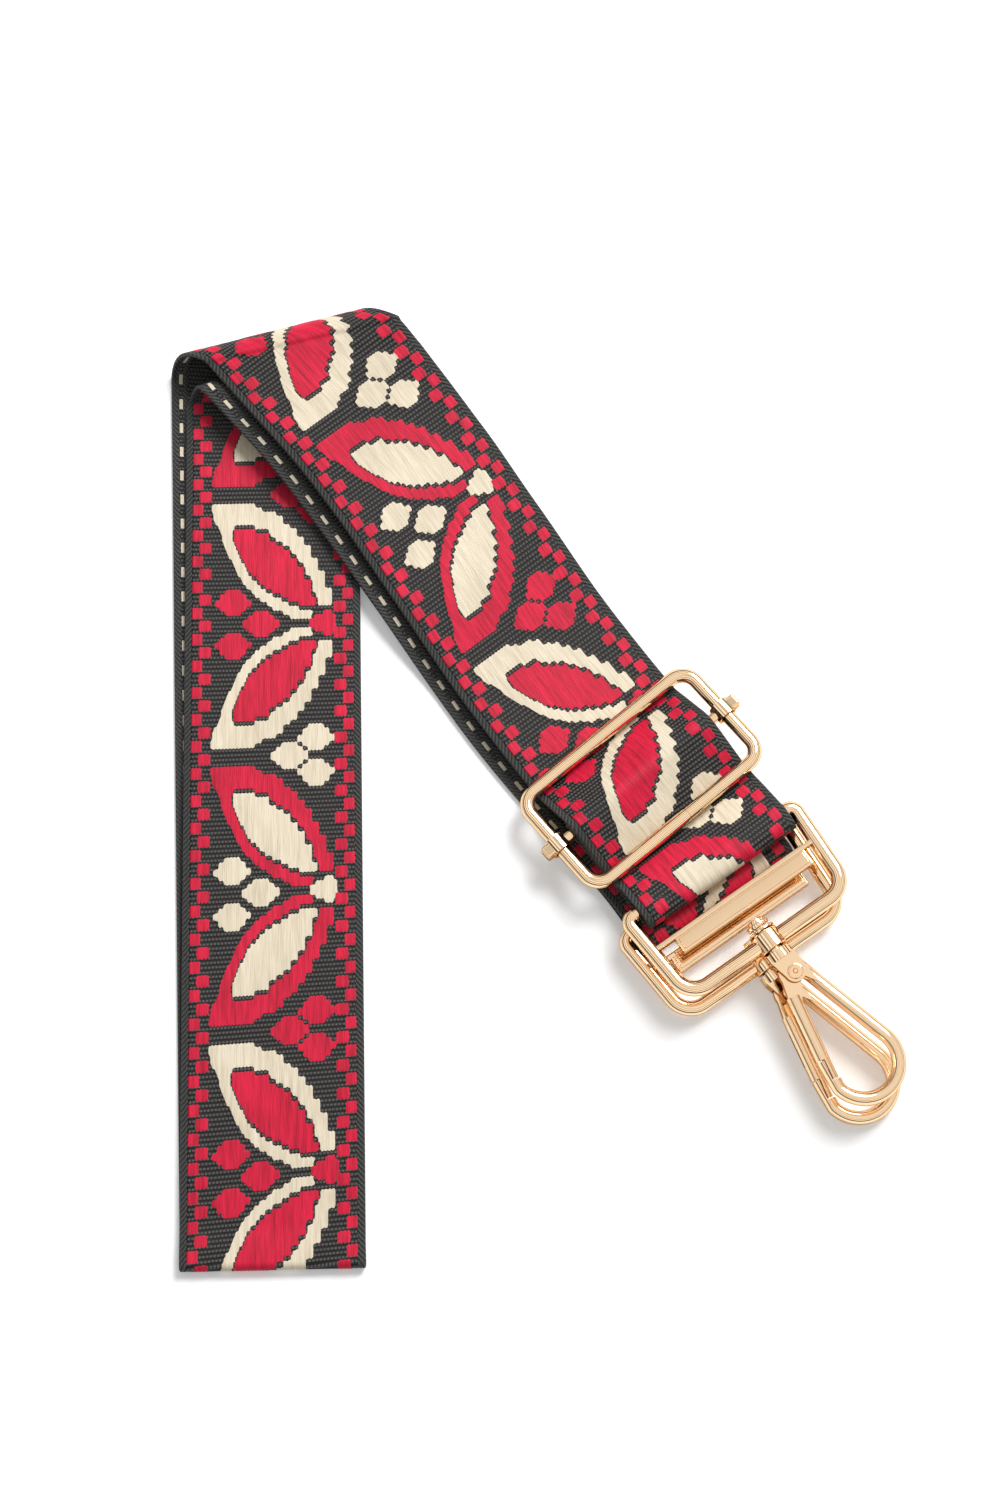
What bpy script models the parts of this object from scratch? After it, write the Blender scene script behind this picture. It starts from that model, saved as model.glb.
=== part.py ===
"""Detachable shoulder strap for a bag: doubled webbing, a slider and two swivel snap hooks.

Blender 4.5. Lengths are in metres and angles in degrees, with +Z up. The strap lies on a table,
folded in half: two layers run up the left arm, roll over towards the right and run down the right
arm to the hooks, which lie on each other. Everything hangs on one root empty, which is moved at
the end so that the origin is the middle of the strap's footprint.
"""

import math

import bmesh
import bpy
import numpy as np
from mathutils import Matrix, Vector

MM = 0.001

# Webbing
web_width = 50 * MM
web_thickness = 1.4 * MM
clearance = 0.3 * MM
station_spacing = 9 * MM
bend_step = 24

# Left arm in plan, seen from above: a point on its centre line, and the way it runs upwards
left_mark = (0.2 * MM, 115.5 * MM)
left_heading = 56.2
left_length = 240 * MM
lower_layer_drift = -4.3 * MM
bottom_fold_radius = 1.25 * MM
bottom_fold_run = 12 * MM
layer_margin = 18 * MM

# Roll at the top of the left arm, where both layers turn over into the right arm
outer_roll = {
    "axis_point": (12 * MM, 134 * MM),
    "axis_heading": -22.5,
    "reach": 6.0 * MM,
    "rise": 7.0 * MM,
    "flare_share": 0.03,
    "drift": 14.0 * MM,
    "steady_drift_share": 0.15,
    "span_shares": (0.518, 0.533, 0.574),
}
inner_roll = {
    "axis_point": (12 * MM, 126.5 * MM),
    "axis_heading": -20.0,
    "reach": 3.5 * MM,
    "rise": 4.5 * MM,
    "flare_share": 0.02,
    "drift": 8.5 * MM,
    "steady_drift_share": 1.0,
    "span_shares": (0.516, 0.532, 0.570),
}
roll_steps = 14

# Right arm in plan: distances along each layer and the heading there
top_headings = (
    (0 * MM, -84.0),
    (20 * MM, -84.0),
    (40 * MM, -88.0),
    (60 * MM, -91.5),
    (100 * MM, -91.0),
    (130 * MM, -88.5),
    (145 * MM, -86.0),
    (150 * MM, -85.2),
    (175 * MM, -85.2),
    (187 * MM, -90.0),
    (210 * MM, -90.0),
)
under_headings = (
    (0 * MM, -82.0),
    (20 * MM, -86.0),
    (40 * MM, -89.0),
    (60 * MM, -90.5),
    (110 * MM, -90.0),
    (130 * MM, -86.0),
    (150 * MM, -83.5),
    (170 * MM, -84.5),
    (182 * MM, -90.0),
    (210 * MM, -90.0),
)
plan_step = 0.5 * MM

# Right arm in height: distances along each layer and the height of its middle there
top_heights = (
    (0 * MM, 14.9 * MM),
    (14 * MM, 13.6 * MM),
    (50 * MM, 9.0 * MM),
    (78 * MM, 7.4 * MM),
    (112 * MM, 4.6 * MM),
    (135 * MM, 5.2 * MM),
)
under_heights = (
    (0 * MM, 11.6 * MM),
    (12 * MM, 9.6 * MM),
    (44 * MM, 5.2 * MM),
    (70 * MM, 4.4 * MM),
    (104 * MM, 1.0 * MM),
    (135 * MM, 1.0 * MM),
)
untwist_run = 50 * MM
unskew_run = 32 * MM

# Slider: a wire frame with a separate centre bar clasped round its side wires
slider_station = 161.5 * MM
slider_height = 9.6 * MM
slider_pitch = 5.0
slider_side_room = 3.2 * MM
slider_length = 30 * MM
slider_wire_radius = 2.0 * MM
slider_corner_radius = 5.0 * MM
slider_bar_radius = 1.6 * MM
slider_travel = 1.3 * MM
clasp_wall = 0.6 * MM
clasp_length = 3.7 * MM
clasp_tongue_reach = 3.8 * MM
clasp_tongue_height = 2.2 * MM
slider_tail = 3.7 * MM
slider_tail_rise = 1.05 * MM

# Hook frame, measured from the axis of its crossbar: -Y runs to the hook
frame_side_room = 3.25 * MM
frame_taper = 1.1 * MM
frame_rod_radius = 2.15 * MM
frame_corner_radius = 6.5 * MM
frame_reach = 27.3 * MM
ear_reach = 1.7 * MM
crossbar_radius = 1.6 * MM
window_length = 10.5 * MM
ledge_width = 1.5 * MM
ledge_thickness = 3.2 * MM
panel_width = 4.6 * MM
panel_thickness = 2.6 * MM
panel_left_gap = 4.2 * MM
panel_right_gap = 1.9 * MM
panel_border = 0.8 * MM
panel_relief = 0.3 * MM
boss_radius = 4.0 * MM
boss_length = 5.4 * MM
edge_round = 0.35 * MM

# Swivel
pin_radius = 2.1 * MM
pin_tilt_room = 0.35 * MM
socket_depth = 1.7 * MM
washer_radius = 4.0 * MM
washer_thickness = 0.9 * MM
head_radius = 3.25 * MM
head_thickness = 1.4 * MM
peen_radius = 2.25 * MM
peen_height = 1.2 * MM
peen_bore_radius = 1.3 * MM
peen_bore_depth = 1.9 * MM

# Hook, measured from the middle of the face of its neck: -Y runs to the tip
hook_rod_radius = 1.95 * MM
hook_rod_flattening = 1.25
eye_radius = 9.75 * MM
eye_centre = (1.25 * MM, -38.0 * MM)
arm_lean = 15.5
gate_lean = 11.0
neck_radius = 4.0 * MM
neck_length = 2.2 * MM
cheek_half_thickness = 2.9 * MM
cheek_radius = 2.9 * MM
rivet_reach = 7.5 * MM
rivet_aside = 0.5 * MM
rivet_radius = 1.1 * MM
rivet_head_radius = 2.1 * MM
rivet_head_height = 0.5 * MM
knuckle_radius = 4.4 * MM
hub_radius = 2.7 * MM
knuckle_start = 140
knuckle_end = 262
fork_room = 8
knuckle_half_thickness = 1.4 * MM
gate_shoulder_reach = 12.8 * MM
nose_rise = 4.64 * MM
step_length = 5.7 * MM
groove_width = 1.2 * MM
groove_depth = 1.0 * MM
gate_opening = 22.0
overrun = 2 * MM

# Gate spring, a torsion coil round the rivet in a pocket of the gate's knuckle
spring_wire_radius = 0.2 * MM
spring_coil_radius = 1.65 * MM
spring_turns = 2.5
spring_turn_points = 10
pocket_wall = 0.5 * MM
pocket_floor = 0.6 * MM
heel_share = 0.9

# Where the hooks lie: along its layer, height of the crossbar, pitch of frame and of hook
hook_lay = {
    "hook_a": {"station": 192.4 * MM, "aside": -0.6 * MM, "height": 10.7 * MM, "frame_pitch": 3.0,
               "hook_pitch": -1.6},
    "hook_b": {"station": 190.2 * MM, "aside": 0 * MM, "height": 3.35 * MM, "frame_pitch": 1.7,
               "hook_pitch": -1.7},
}
webbing_end_run = 35 * MM
sewn_end_ramp = 9 * MM

layer_step = web_thickness + clearance
floor_layer = web_thickness / 2
wrap_radius = crossbar_radius + clearance + web_thickness / 2
rod_offset = web_width / 2 + frame_side_room
slot_reach = frame_reach - window_length - panel_width - ledge_width
slider_side = web_width / 2 + slider_side_room
slider_reach = slider_length / 2 - slider_wire_radius
bore_radius = pin_radius + clearance + pin_tilt_room
nose_reach = -eye_centre[1] - eye_radius * math.sin(math.radians(gate_lean)) - nose_rise


def direction(degrees):
    """Unit vector in plan for a heading."""
    return np.array([math.cos(math.radians(degrees)), math.sin(math.radians(degrees))])


def across(degrees):
    """Unit vector in plan from the strap's left edge to its right edge, for a downward heading."""
    return np.array([-math.sin(math.radians(degrees)), math.cos(math.radians(degrees))])


def smooth(share):
    """Ease from 0 to 1 with level ends."""
    share = min(max(share, 0.0), 1.0)
    return share * share * (3 - 2 * share)


def eased(table, place):
    """Read a table of (place, value) with level tangents at its rows."""
    for (start, low), (end, high) in zip(table, table[1:]):
        if place <= end:
            return low + (high - low) * smooth((place - start) / (end - start))
    return table[-1][1]


class PlanLine:
    """Centre line of one layer of the right arm, from its start and its table of headings."""

    def __init__(self, start, headings):
        places, angles = zip(*headings)
        self.places = np.arange(places[0], places[-1], plan_step)
        self.angles = np.interp(self.places, places, angles)
        steps = np.radians(self.angles[:-1])
        self.x = start[0] + plan_step * np.concatenate([[0], np.cumsum(np.cos(steps))])
        self.y = start[1] + plan_step * np.concatenate([[0], np.cumsum(np.sin(steps))])

    def heading(self, place):
        return float(np.interp(place, self.places, self.angles))

    def point(self, place):
        if place < 0:
            return np.array([self.x[0], self.y[0]]) + place * direction(self.angles[0])
        return np.array([np.interp(place, self.places, self.x), np.interp(place, self.places, self.y)])

    def edge(self, place, side):
        """Point on the left (-1), centre (0) or right (+1) line of the layer."""
        return self.point(place) + across(self.heading(place)) * side * web_width / 2


def roll_line(roll):
    """Axis direction and outward direction of a roll, in plan."""
    return direction(roll["axis_heading"]), direction(roll["axis_heading"] + 90)


def left_point(run, drift):
    """Point on the left arm's centre line, a distance up from the bottom fold."""
    along = direction(left_heading)
    sideways = across(left_heading + 180)
    return np.array(left_mark) + along * (run - left_length) + sideways * drift


def roll_entry(roll, drift):
    """How far along the roll's axis the centre line comes in."""
    along = direction(left_heading)
    axis, _ = roll_line(roll)
    offset = np.array(roll["axis_point"]) - left_point(left_length, drift)
    return np.linalg.solve(np.column_stack([along, -axis]), offset)[1]


def roll_sections(roll, drift, height):
    """Left and right edge points of the webbing as it rolls over, from the left arm outwards."""
    axis, outward = roll_line(roll)
    entry = roll_entry(roll, drift)
    steady = roll["steady_drift_share"]
    first, middle, last = roll["span_shares"]
    sections = []
    for step in range(roll_steps + 1):
        share = step / roll_steps
        turn = math.pi * share
        centre = entry + roll["drift"] * (steady * share + (1 - steady) * share ** 2)
        rise_share = first + (4 * middle - 3 * first - last) * share
        half_span = web_width * (rise_share + (2 * first + 2 * last - 4 * middle) * share ** 2)
        ends = []
        for side in (-1, 1):
            place = centre + side * half_span
            flare = roll["flare_share"] * (place - entry)
            plan = np.array(roll["axis_point"]) + place * axis
            plan = plan + outward * (roll["reach"] + flare) * math.sin(turn)
            lift = height + (roll["rise"] + flare) * (1 - math.cos(turn))
            ends.append(np.array([plan[0], plan[1], lift]))
        sections.append(tuple(ends))
    return sections


def exit_point(sections):
    """Middle of the last section of a roll, in plan."""
    left, right = sections[-1]
    return (left[:2] + right[:2]) / 2


def arm_sections(line, heights, sections, stop):
    """The layer from the roll down the right arm, straightening and lying flat as it goes."""
    left, right = sections[-1]
    half_tilt = (right[2] - left[2]) / 2
    chord = right[:2] - left[:2]
    skew = math.degrees(math.atan2(chord[1], chord[0])) - line.heading(0) - 90
    count = round(stop / station_spacing)
    result = []
    for step in range(1, count + 1):
        place = stop * step / count
        lean = math.tan(math.radians(skew)) * (1 - smooth(place / unskew_run))
        tilt = half_tilt * (1 - smooth(place / untwist_run))
        ends = []
        for side in (-1, 1):
            plan = line.edge(place - side * lean * web_width / 2, side)
            ends.append(np.array([plan[0], plan[1], eased(heights, place) + side * tilt]))
        result.append(tuple(ends))
    return result


def belt(stops):
    """Path in (distance, height) over and under round bars, as straight runs and arcs.

    A stop is (distance, height, radius, turn), where turn is +1 round the bar anticlockwise,
    -1 clockwise and 0 for a plain point.
    """
    headings = []
    for (q0, z0, r0, s0), (q1, z1, r1, s1) in zip(stops, stops[1:]):
        length = math.hypot(q1 - q0, z1 - z0)
        headings.append(math.atan2(z1 - z0, q1 - q0) - math.asin((s1 * r1 - s0 * r0) / length))
    path = [(stops[0][0], stops[0][1])]
    for index, (q, z, radius, turn) in enumerate(stops[1:-1]):
        if turn == 0:
            path.append((q, z))
            continue
        start, end = headings[index], headings[index + 1]
        sweep = (turn * (end - start)) % math.tau
        if sweep > math.radians(350):
            sweep = 0.0
        count = math.ceil(math.degrees(sweep) / bend_step)
        for step in range(count + 1):
            angle = start + turn * sweep * step / max(count, 1)
            path.append((q + turn * radius * math.sin(angle), z - turn * radius * math.cos(angle)))
    path.append((stops[-1][0], stops[-1][1]))
    return path


def belt_sections(line, path):
    """Edge points along a belt path that lies over one layer's centre line."""
    result = []
    for (q0, z0), (q1, z1) in zip(path, path[1:]):
        count = max(1, round(math.hypot(q1 - q0, z1 - z0) / station_spacing))
        for step in range(1, count + 1):
            place = q0 + (q1 - q0) * step / count
            height = z0 + (z1 - z0) * step / count
            ends = []
            for side in (-1, 1):
                plan = line.edge(place, side)
                ends.append(np.array([plan[0], plan[1], height]))
            result.append(tuple(ends))
    return result


def left_sections():
    """Both layers of the left arm, from the outer roll down, round the bottom fold and up again."""
    start = layer_margin
    end = left_length - layer_margin
    count = round((end - start) / station_spacing / 2)
    lower = []
    upper = []
    for step in range(count + 1):
        run = start + (end - start) * step / count
        for layer, drift, height in (
            (lower, lower_layer_drift * run / left_length, floor_layer),
            (upper, 0.0, floor_layer + layer_step),
        ):
            layer.append(left_ends(run, drift, height))
    fold = []
    bulge = bottom_fold_radius * 2 - layer_step
    centre = bottom_fold_radius + floor_layer
    for step in range(9):
        angle = math.pi * step / 8
        run = bottom_fold_radius * (1 - math.sin(angle)) + web_thickness / 2
        fold.append(left_ends(run, 0.0, centre - bottom_fold_radius * math.cos(angle)))
    for share in (0.35, 0.7):
        height = floor_layer + layer_step + bulge * (1 - smooth(share))
        fold.append(left_ends(bottom_fold_run * share + bottom_fold_radius, 0.0, height))
    return lower[::-1] + fold + upper


def left_ends(run, drift, height):
    """Edge points across the left arm."""
    sideways = across(left_heading + 180)
    ends = []
    for side in (-1, 1):
        plan = left_point(run, drift) + sideways * side * web_width / 2
        ends.append(np.array([plan[0], plan[1], height]))
    return tuple(ends)


def slider_bar_heights():
    """Heights of the far wire, the centre bar and the near wire of the slider."""
    lift = slider_reach * math.sin(math.radians(slider_pitch))
    return slider_height - lift, slider_height, slider_height + lift


def top_belt(line_start):
    """Stops of the top layer: slider, crossbar of hook A, back to the slider's bar, and the tail."""
    far, middle, near = slider_bar_heights()
    crossbar = hook_lay["hook_a"]
    far_place = slider_station - slider_reach
    near_place = slider_station + slider_reach
    under_wire = slider_wire_radius + clearance + web_thickness / 2
    round_bar = slider_bar_radius + clearance + web_thickness / 2
    return [
        line_start,
        (far_place - slider_travel, far, under_wire, 1),
        (far_place + slider_travel, far, under_wire, 1),
        (slider_station, middle, round_bar + layer_step, -1),
        (near_place - slider_travel, near, under_wire, 1),
        (near_place + slider_travel, near, under_wire, 1),
        (crossbar["station"], crossbar["height"], wrap_radius, -1),
        (near_place + slider_travel, near, under_wire + 2 * layer_step, -1),
        (near_place - slider_travel, near, under_wire + 2 * layer_step, -1),
        (slider_station, middle, round_bar, -1),
        (near_place - slider_travel, near, under_wire + layer_step, 1),
        (near_place + slider_travel, near, under_wire + layer_step, 1),
        (near_place + slider_travel + slider_tail,
         near - under_wire - layer_step + slider_tail_rise, 0, 0),
    ]


def under_belt(line_start):
    """Stops of the bottom layer: up over its own sewn end, round the crossbar of hook B."""
    crossbar = hook_lay["hook_b"]
    end = crossbar["station"] - webbing_end_run
    over_tail = floor_layer + layer_step
    return [
        line_start,
        (end - sewn_end_ramp, floor_layer + clearance, 0, 0),
        (end, over_tail + clearance, 0, 0),
        (crossbar["station"] - 2 * sewn_end_ramp, over_tail + clearance, 0, 0),
        (crossbar["station"], crossbar["height"], wrap_radius, -1),
        (end, floor_layer, 0, 0),
    ]


def strip_mesh(name, sections):
    """One closed body of the webbing's thickness through sections of left and right edge points."""
    middles = [(left + right) / 2 for left, right in sections]
    rings = []
    mesh = bpy.data.meshes.new(name)
    shape = bmesh.new()
    for index, (left, right) in enumerate(sections):
        before = middles[max(index - 1, 0)]
        after = middles[min(index + 1, len(middles) - 1)]
        ahead = Vector(middles[index] - before).normalized() + Vector(after - middles[index]).normalized()
        side = Vector(right - left)
        normal = side.cross(ahead).normalized() * web_thickness / 2
        ring = []
        for corner, offset in ((left, normal), (right, normal), (right, -normal), (left, -normal)):
            ring.append(shape.verts.new(Vector(corner) + offset))
        rings.append(ring)
    for first, second in zip(rings, rings[1:]):
        for corner in range(4):
            following = (corner + 1) % 4
            shape.faces.new((first[corner], first[following], second[following], second[corner]))
    shape.faces.new(rings[0][::-1])
    shape.faces.new(rings[-1])
    bmesh.ops.recalc_face_normals(shape, faces=shape.faces)
    shape.to_mesh(mesh)
    shape.free()
    return mesh


def material(name, colour, roughness, metallic):
    """Principled material."""
    made = bpy.data.materials.new(name)
    made.use_nodes = True
    shader = made.node_tree.nodes["Principled BSDF"]
    shader.inputs["Base Color"].default_value = (*colour, 1.0)
    shader.inputs["Roughness"].default_value = roughness
    shader.inputs["Metallic"].default_value = metallic
    return made


def tool(name, mesh):
    """Working object for the modelling steps below, removed once its mesh is read."""
    made = bpy.data.objects.new(name, mesh)
    bpy.context.scene.collection.objects.link(made)
    return made


def mesh_tool(name, shape):
    """Working object from a bmesh."""
    mesh = bpy.data.meshes.new(name)
    shape.to_mesh(mesh)
    shape.free()
    return tool(name, mesh)


def cylinder(radius, start, end, segments=28):
    """Solid cylinder between two points."""
    start = Vector(start)
    end = Vector(end)
    turn = (end - start).to_track_quat("Z", "Y").to_matrix().to_4x4()
    place = Matrix.Translation((start + end) / 2) @ turn
    shape = bmesh.new()
    bmesh.ops.create_cone(
        shape, cap_ends=True, segments=segments, radius1=radius, radius2=radius,
        depth=(end - start).length, matrix=place,
    )
    return mesh_tool("cylinder", shape)


def box(low, high, turn=0.0, pivot=(0, 0, 0), rounding=0.0):
    """Box between two corners, turned about Z round a pivot, its edges rounded."""
    low = Vector(low)
    high = Vector(high)
    shape = bmesh.new()
    bmesh.ops.create_cube(shape, size=1)
    bmesh.ops.transform(shape, matrix=Matrix.Diagonal((*(high - low), 1)), verts=shape.verts)
    bmesh.ops.translate(shape, vec=(low + high) / 2, verts=shape.verts)
    if rounding:
        bmesh.ops.bevel(shape, geom=shape.edges[:], offset=rounding, segments=2, profile=0.5,
                        affect="EDGES")
    spin = Matrix.Translation(pivot) @ Matrix.Rotation(math.radians(turn), 4, "Z")
    bmesh.ops.transform(shape, matrix=spin @ Matrix.Translation(-Vector(pivot)), verts=shape.verts)
    return mesh_tool("box", shape)


def read_mesh(made, flattening=1.0):
    """Evaluated mesh of a working object with its caps welded; the object is removed."""
    bpy.context.view_layer.update()
    graph = bpy.context.evaluated_depsgraph_get()
    mesh = bpy.data.meshes.new_from_object(made.evaluated_get(graph))
    mesh.transform(Matrix.Diagonal((1, 1, flattening, 1)) @ made.matrix_world)
    shape = bmesh.new()
    shape.from_mesh(mesh)
    bmesh.ops.remove_doubles(shape, verts=shape.verts, dist=clearance / 30)
    bmesh.ops.recalc_face_normals(shape, faces=shape.faces)
    shape.to_mesh(mesh)
    shape.free()
    bpy.data.objects.remove(made)
    return mesh


def rod(points, radius, cyclic=False, flattening=1.0, resolution=4):
    """Round rod along points."""
    curve = bpy.data.curves.new("rod", "CURVE")
    curve.dimensions = "3D"
    curve.bevel_depth = radius
    curve.bevel_resolution = resolution
    curve.use_fill_caps = not cyclic
    spline = curve.splines.new("POLY")
    spline.points.add(len(points) - 1)
    for point, place in zip(spline.points, points):
        point.co = (*place, 1)
    spline.use_cyclic_u = cyclic
    return tool("rod", read_mesh(tool("rod", curve), flattening))


def plate(outline, half_thickness):
    """Flat outline in XY with a thickness about z = 0."""
    curve = bpy.data.curves.new("plate", "CURVE")
    curve.dimensions = "2D"
    curve.fill_mode = "BOTH"
    curve.extrude = half_thickness
    spline = curve.splines.new("POLY")
    spline.points.add(len(outline) - 1)
    for point, place in zip(spline.points, outline):
        point.co = (place[0], place[1], 0, 1)
    spline.use_cyclic_u = True
    return tool("plate", read_mesh(tool("plate", curve)))


def turned(profile, steps=32):
    """Body turned about the Y axis from (radius, y) points that start and end on the axis."""
    mesh = bpy.data.meshes.new("turned")
    points = [(radius, place, 0) for radius, place in profile]
    mesh.from_pydata(points, [(i, i + 1) for i in range(len(points) - 1)], [])
    made = tool("turned", mesh)
    screw = made.modifiers.new("turn", "SCREW")
    screw.axis = "Y"
    screw.steps = steps
    screw.render_steps = steps
    screw.use_merge_vertices = True
    screw.merge_threshold = clearance / 30
    return tool("turned", read_mesh(made))


def fuse(solids, cuts=()):
    """Union of the solids less the cuts, as one mesh."""
    base = solids[0]
    for operation, tools in (("UNION", solids[1:]), ("DIFFERENCE", cuts)):
        for other in tools:
            step = base.modifiers.new(operation, "BOOLEAN")
            step.operation = operation
            step.object = other
    mesh = read_mesh(base)
    for other in (*solids[1:], *cuts):
        bpy.data.objects.remove(other)
    return mesh


def empty(name, parent, place, pitch=0.0, turn=0.0):
    """Placing empty: a joint axis or a seat that pieces hang on."""
    made = bpy.data.objects.new(name, None)
    made.empty_display_size = web_width / 5
    parts.objects.link(made)
    made.parent = parent
    made.location = place
    made.rotation_euler = (math.radians(pitch), 0, math.radians(turn))
    return made


def piece(name, mesh, finish, parent):
    """Named sub-part with its own material."""
    colour, roughness, metallic = finish
    made = bpy.data.objects.new(name, mesh.copy())
    made.data.name = name
    made.data.materials.clear()
    made.data.materials.append(material(name, colour, roughness, metallic))
    made.data.shade_smooth()
    made.data.set_sharp_from_angle(angle=math.radians(32))
    parts.objects.link(made)
    made.parent = parent
    return made


def arc(centre, radius, start, end, count):
    """Points on an arc in XY, from one angle to another."""
    points = []
    for step in range(count + 1):
        angle = math.radians(start + (end - start) * step / count)
        points.append((centre[0] + radius * math.cos(angle), centre[1] + radius * math.sin(angle), 0))
    return points


def slider_frame_mesh():
    """Closed wire rectangle with round corners."""
    x = slider_side - slider_corner_radius
    y = slider_reach - slider_corner_radius
    points = []
    for centre, start in (((x, y), 0), ((-x, y), 90), ((-x, -y), 180), ((x, -y), 270)):
        points += arc(centre, slider_corner_radius, start, start + 90, 6)
    return fuse([rod(points, slider_wire_radius, cyclic=True)])


def slider_bar_mesh():
    """Centre bar with a clasp round each side wire of the frame, and a short tongue beyond it."""
    inner = slider_wire_radius + clearance
    outer = inner + clasp_wall
    half = clasp_length / 2
    solids = [cylinder(slider_bar_radius, (-slider_side, 0, 0), (slider_side, 0, 0), 16)]
    cuts = []
    for side in (-slider_side, slider_side):
        solids.append(cylinder(outer, (side, -half, 0), (side, half, 0), 20))
        tip = math.copysign(slider_side + clasp_tongue_reach, side)
        solids.append(box((min(side, tip), -half + clearance, -slider_bar_radius),
                          (max(side, tip), half - clearance, clasp_tongue_height),
                          rounding=edge_round))
        cuts.append(cylinder(inner, (side, -half - overrun, 0), (side, half + overrun, 0), 20))
    return fuse(solids, cuts)


def hook_frame_mesh():
    """Rod frame open at its ears, crossbar, flat bar with a bare panel, and the swivel's boss."""
    low_offset = rod_offset - frame_taper
    ledge_offset = rod_offset - frame_taper * slot_reach / frame_reach
    corner = low_offset - frame_corner_radius
    low = -frame_reach + frame_corner_radius
    outline = [(-rod_offset, ear_reach, 0)]
    outline += arc((-corner, low), frame_corner_radius, 180, 270, 7)
    outline += arc((corner, low), frame_corner_radius, 270, 360, 7)
    outline.append((rod_offset, ear_reach, 0))
    panel_left = -low_offset + frame_rod_radius + panel_left_gap
    panel_right = low_offset - frame_rod_radius - panel_right_gap
    ledge_low = -slot_reach - ledge_width
    panel_low = ledge_low - panel_width
    half_ledge = ledge_thickness / 2
    half_panel = panel_thickness / 2
    half_relief = half_panel + panel_relief
    half_boss = boss_length / 2
    solids = [
        rod(outline, frame_rod_radius),
        cylinder(crossbar_radius, (-rod_offset, 0, 0), (rod_offset, 0, 0), 16),
        box((-ledge_offset, ledge_low, -half_ledge), (ledge_offset, -slot_reach, half_ledge),
            rounding=edge_round),
        box((panel_left, panel_low, -half_panel), (panel_right, ledge_low + edge_round, half_panel),
            rounding=edge_round),
        box((panel_left + panel_border, panel_low + panel_border, -half_relief),
            (panel_right - panel_border, ledge_low - panel_border / 2, half_relief),
            rounding=panel_relief * 0.8),
        cylinder(boss_radius, (0, -frame_reach - half_boss, 0), (0, -frame_reach + half_boss, 0), 32),
    ]
    bore = cylinder(bore_radius, (0, -frame_reach - half_boss - overrun, 0),
                    (0, -frame_reach + half_boss + overrun, 0), 24)
    return fuse(solids, [bore])


def head_place():
    """Underside of the swivel pin's head, from the face of the hook's neck."""
    return boss_length + washer_thickness + 3 * clearance + 2 * pin_tilt_room


def swivel_pin_mesh():
    """Stem with its head in the frame's window, peened over a hollow end."""
    under = head_place()
    top = under + head_thickness
    peak = top + peen_height
    shaft = -socket_depth + clearance
    profile = [
        (0, peak - peen_bore_depth),
        (peen_bore_radius, peak - peen_bore_depth),
        (peen_bore_radius, peak - edge_round),
        (peen_bore_radius + edge_round, peak),
        (peen_radius - edge_round, peak),
        (peen_radius, peak - edge_round),
        (peen_radius, top),
        (head_radius - edge_round, top),
        (head_radius, top - edge_round),
        (head_radius, under + edge_round),
        (head_radius - edge_round, under),
        (pin_radius, under),
        (pin_radius, shaft),
        (0, shaft),
    ]
    return fuse([turned(profile, 24)])


def swivel_washer_mesh():
    """Thin washer on the boss, under the head of the pin."""
    low = boss_length / 2 + clearance
    top = low + washer_thickness
    inner = bore_radius
    outer = cylinder(washer_radius, (0, low, 0), (0, top, 0), 32)
    bore = cylinder(inner, (0, low - overrun, 0), (0, top + overrun, 0), 24)
    return fuse([outer], [bore])


def eye_side(lean, side):
    """Point where a straight side of the hook runs into its round end."""
    angle = math.radians(lean)
    return Vector((eye_centre[0] + side * eye_radius * math.cos(angle),
                   eye_centre[1] + eye_radius * math.sin(angle), 0))


def gate_line(reach):
    """Point on the gate's centre line, a distance below the face of the neck."""
    low = eye_side(gate_lean, -1)
    rise = -reach - low.y
    return Vector((low.x + rise * math.tan(math.radians(gate_lean)), -reach, 0))


def arm_line(reach):
    """Point on the fixed arm's centre line, a distance below the face of the neck."""
    low = eye_side(arm_lean, 1)
    rise = -reach - low.y
    return Vector((low.x - rise * math.tan(math.radians(arm_lean)), -reach, 0))


def rivet_centre():
    """Middle of the gate's rivet, from the face of the neck."""
    return Vector((rivet_aside, -rivet_reach, 0))


def knuckle_outline(hub, knuckle, widen):
    """Round hub with a larger sector on the gate's side, widened by some degrees at its end."""
    centre = rivet_centre()
    outline = arc(centre, knuckle, knuckle_start, knuckle_end + widen, 14)
    outline += arc(centre, hub, knuckle_end + widen, knuckle_start + 360, 14)
    return [point[:2] for point in outline]


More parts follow.
